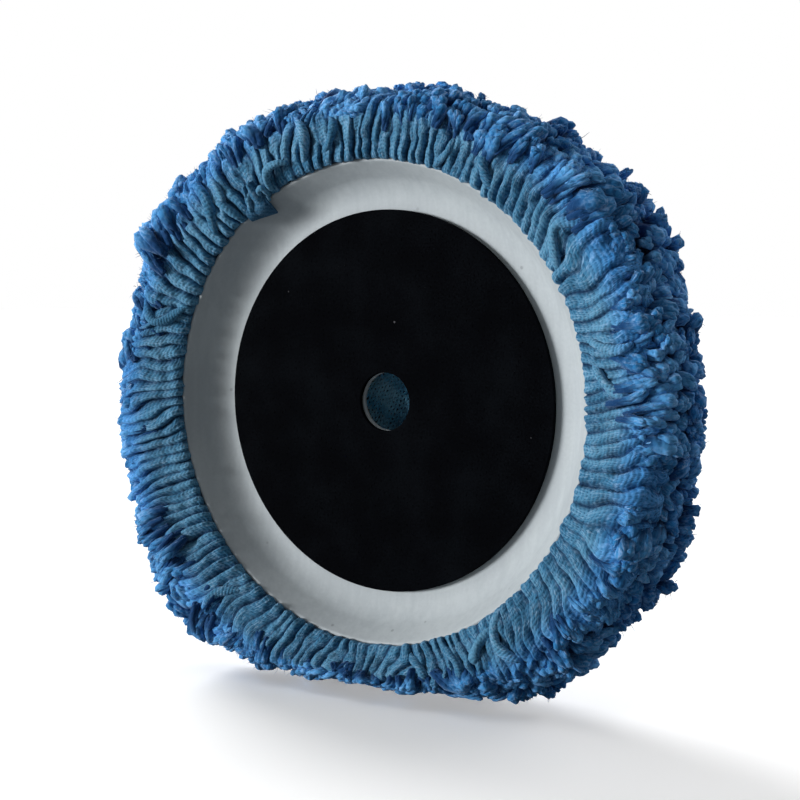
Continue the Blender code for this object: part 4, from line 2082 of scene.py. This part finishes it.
    def build(self) -> list[bpy.types.Object]:
        """Make the tuck.

        Returns:
            The flap and its folds.
        """
        rope = ROPE_FINISH.material()
        flap = self.flap().piece("tuck_flap", rope)
        ridges = self.ridges().piece("tuck_folds", rope)
        for obj in (flap, ridges):
            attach(obj, BODY)
        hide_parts("hem_tuck")
        return [flap, ridges]


def dress_films() -> list[bpy.types.Object]:
    """Give the three glue films their finish; their shapes stay as they are.

    Returns:
        The films.
    """
    material = HotMeltFinish().material()
    films = [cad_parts[name] for name in sorted(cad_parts) if name.endswith("adhesive_film")]
    for film in films:
        for slot in film.material_slots:
            slot.material = material
    return films


# ---------------------------------------------------------------- studio


@dataclass
class Studio:
    """A pale floor, soft light from the left of the back and from the front, and the camera.

    The floor is white to the camera and darker to the light that it throws back, as if black
    cards kept the pale room from washing out the shading.
    """

    azimuth: float = math.radians(213.0)
    elevation: float = math.radians(4.0)
    distance: float = 0.60
    lens: float = 76.0
    target: tuple[float, float, float] = (0.0, -0.010, 0.0)
    floor_half: float = 6.0

    def direction(self) -> np.ndarray:
        """Unit vector from the pad to the camera."""
        flat = math.cos(self.elevation)
        return np.array([
            math.sin(self.azimuth) * flat, -math.cos(self.azimuth) * flat, math.sin(self.elevation)
        ])

    def floor(self, height: float) -> bpy.types.Object:
        """A wide pale floor.

        Args:
            height: Where the pad touches it.

        Returns:
            The floor.
        """
        corners = self.floor_half * np.array([[-1.0, -1.0], [1.0, -1.0], [1.0, 1.0], [-1.0, 1.0]])
        points = np.column_stack([corners, np.full(len(corners), height)])
        bench = Bench("pale_floor")
        cloud = bench.noise(bench.place(), 3.0, 2.0)
        pale = bench.mix(cloud, (0.93, 0.93, 0.93), (0.96, 0.96, 0.96))
        seen = bench.node("ShaderNodeLightPath", output="Is Camera Ray")
        material = bench.dress(
            Base_Color=bench.mix(seen, (0.20, 0.21, 0.22), pale),
            Roughness=0.8,
            Emission_Color=bench.mix(seen, (0.0, 0.0, 0.0), (1.0, 1.0, 1.0)),
            Emission_Strength=0.25,
        )
        floor = Surface(points, np.array([[0, 1, 2, 3]]), NO_TRIANGLES).piece("studio_floor", material)
        floor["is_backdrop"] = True
        return floor

    def lamp(self, name: str, towards: Sequence[float], strength: float, softness: float) -> None:
        """Add one soft distant light.

        Args:
            name: Its name.
            towards: Direction from the pad to the light.
            strength: Light on a surface that faces it.
            softness: Angle that it spans.
        """
        light = bpy.data.lights.new(name, "SUN")
        light.energy = strength * math.pi
        light.angle = softness
        obj = bpy.data.objects.new(name, light)
        obj.rotation_euler = bpy_vector(towards).to_track_quat("Z", "Y").to_euler()
        bpy.context.scene.collection.objects.link(obj)

    def world(self) -> None:
        """A white backdrop that gives only a little light."""
        world = bpy.data.worlds.new("white_room")
        world.use_nodes = True
        nodes, links = world.node_tree.nodes, world.node_tree.links
        glow = nodes["Background"]
        glow.inputs["Color"].default_value = (1.0, 1.0, 1.0, 1.0)
        path = nodes.new("ShaderNodeLightPath")
        strength = nodes.new("ShaderNodeMapRange")
        strength.inputs["To Min"].default_value = 0.14
        strength.inputs["To Max"].default_value = 1.0
        links.new(path.outputs["Is Camera Ray"], strength.inputs["Value"])
        links.new(strength.outputs[0], glow.inputs["Strength"])
        bpy.context.scene.world = world

    def camera(self) -> None:
        """Add the camera and make it the scene's."""
        data = bpy.data.cameras.new("camera")
        data.lens = self.lens
        data.clip_start = 0.02
        obj = bpy.data.objects.new("camera", data)
        away = bpy_vector(self.direction())
        obj.location = bpy_vector(self.target) + self.distance * away
        obj.rotation_euler = away.to_track_quat("Z", "Y").to_euler()
        bpy.context.scene.collection.objects.link(obj)
        bpy.context.scene.camera = obj

    def build(self, ground: float) -> None:
        """Set up the floor, the lights, the backdrop and the camera.

        Args:
            ground: Height of the floor.
        """
        self.floor(ground)
        self.lamp("key_at_the_back", (0.71, 0.70, 0.02), 1.90, math.radians(24.0))
        self.lamp("key_at_the_front", (0.80, -0.42, 0.42), 0.95, math.radians(26.0))
        self.lamp("front_fill", (-0.35, -0.85, 0.40), 0.42, math.radians(50.0))
        self.lamp("overhead", (0.05, 0.05, 1.0), 0.17, math.radians(60.0))
        self.world()
        self.camera()
        bpy.context.scene.view_settings.view_transform = "Standard"


def bpy_vector(values: Sequence[float]) -> Vector:
    """A Blender vector from three numbers."""
    return Vector([float(value) for value in values])


# ---------------------------------------------------------------- the pad


def build_pad() -> list[bpy.types.Object]:
    """Build every layer of the pad at the places that the frame gives.

    Returns:
        All pieces.
    """
    dish_low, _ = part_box("backing_dish")
    loop_low, loop_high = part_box("loop_disc")
    film_low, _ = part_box("loop_adhesive_film")
    cushion_low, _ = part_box("foam_cushion")
    glue_low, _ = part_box("dish_adhesive_film")
    face_low, face_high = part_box("wool_face")
    _, skirt_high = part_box("wool_skirt")
    knit_low, knit_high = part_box("knitted_backing")
    cord_low, cord_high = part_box("gather_cord")
    clearance = 0.3 * MM
    dish = BackingDish(floor_y=film_low.y - clearance, bottom_y=dish_low.y)
    lip = dish.outline()
    crest = lip[np.argmax(lip[:, 1])]
    half = dish.thickness / 2
    cord_radius = (cord_high.y - cord_low.y) / 2
    knit_thickness = KnittedCap.thickness
    layers = [
        LoopDisc(radius=loop_high.x, thickness=loop_high.y - loop_low.y),
        dish,
        FoamCushion(top_y=glue_low.y - clearance, bottom_y=cushion_low.y),
        KnittedCap(top_y=knit_low.y + knit_thickness, radius=knit_high.x),
        WoolPile(WoolOutline(widest=face_high.x, face_y=face_low.y, crest_y=skirt_high.y)),
        GatheredSkirt(),
        GatherCord(
            ring_radius=cord_high.x - cord_radius, height=(cord_high.y + cord_low.y) / 2, radius=cord_radius
        ),
        HemTuck(
            angle=math.radians(55.0), width=11.0 * MM, lip_middle=(float(crest[0]), float(crest[1] - half)),
            lip_reach=half + 0.6 * MM,
        ),
    ]
    pieces = []
    for layer in layers:
        for piece in layer.build():
            LOG.info("%s: %s, %d faces", type(layer).__name__, piece.name, len(piece.data.polygons))
            pieces.append(piece)
    for film in dress_films():
        LOG.info("film: %s, %d faces", film.name, len(film.data.polygons))
        pieces.append(film)
    return pieces


def plain(bounds: Sequence[Sequence[float]]) -> list[list[float]]:
    """A box's corners as plain lists of numbers."""
    return [[float(value) for value in corner] for corner in bounds]


def main() -> None:
    """Build the pad and its studio."""
    logging.basicConfig(level=logging.INFO, format="%(name)s %(message)s")
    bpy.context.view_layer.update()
    pieces = build_pad()
    visual_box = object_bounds()
    Studio().build(float(visual_box[0][2]))
    LOG.info("%d pieces", len(pieces))


if __name__ == "__main__":
    main()
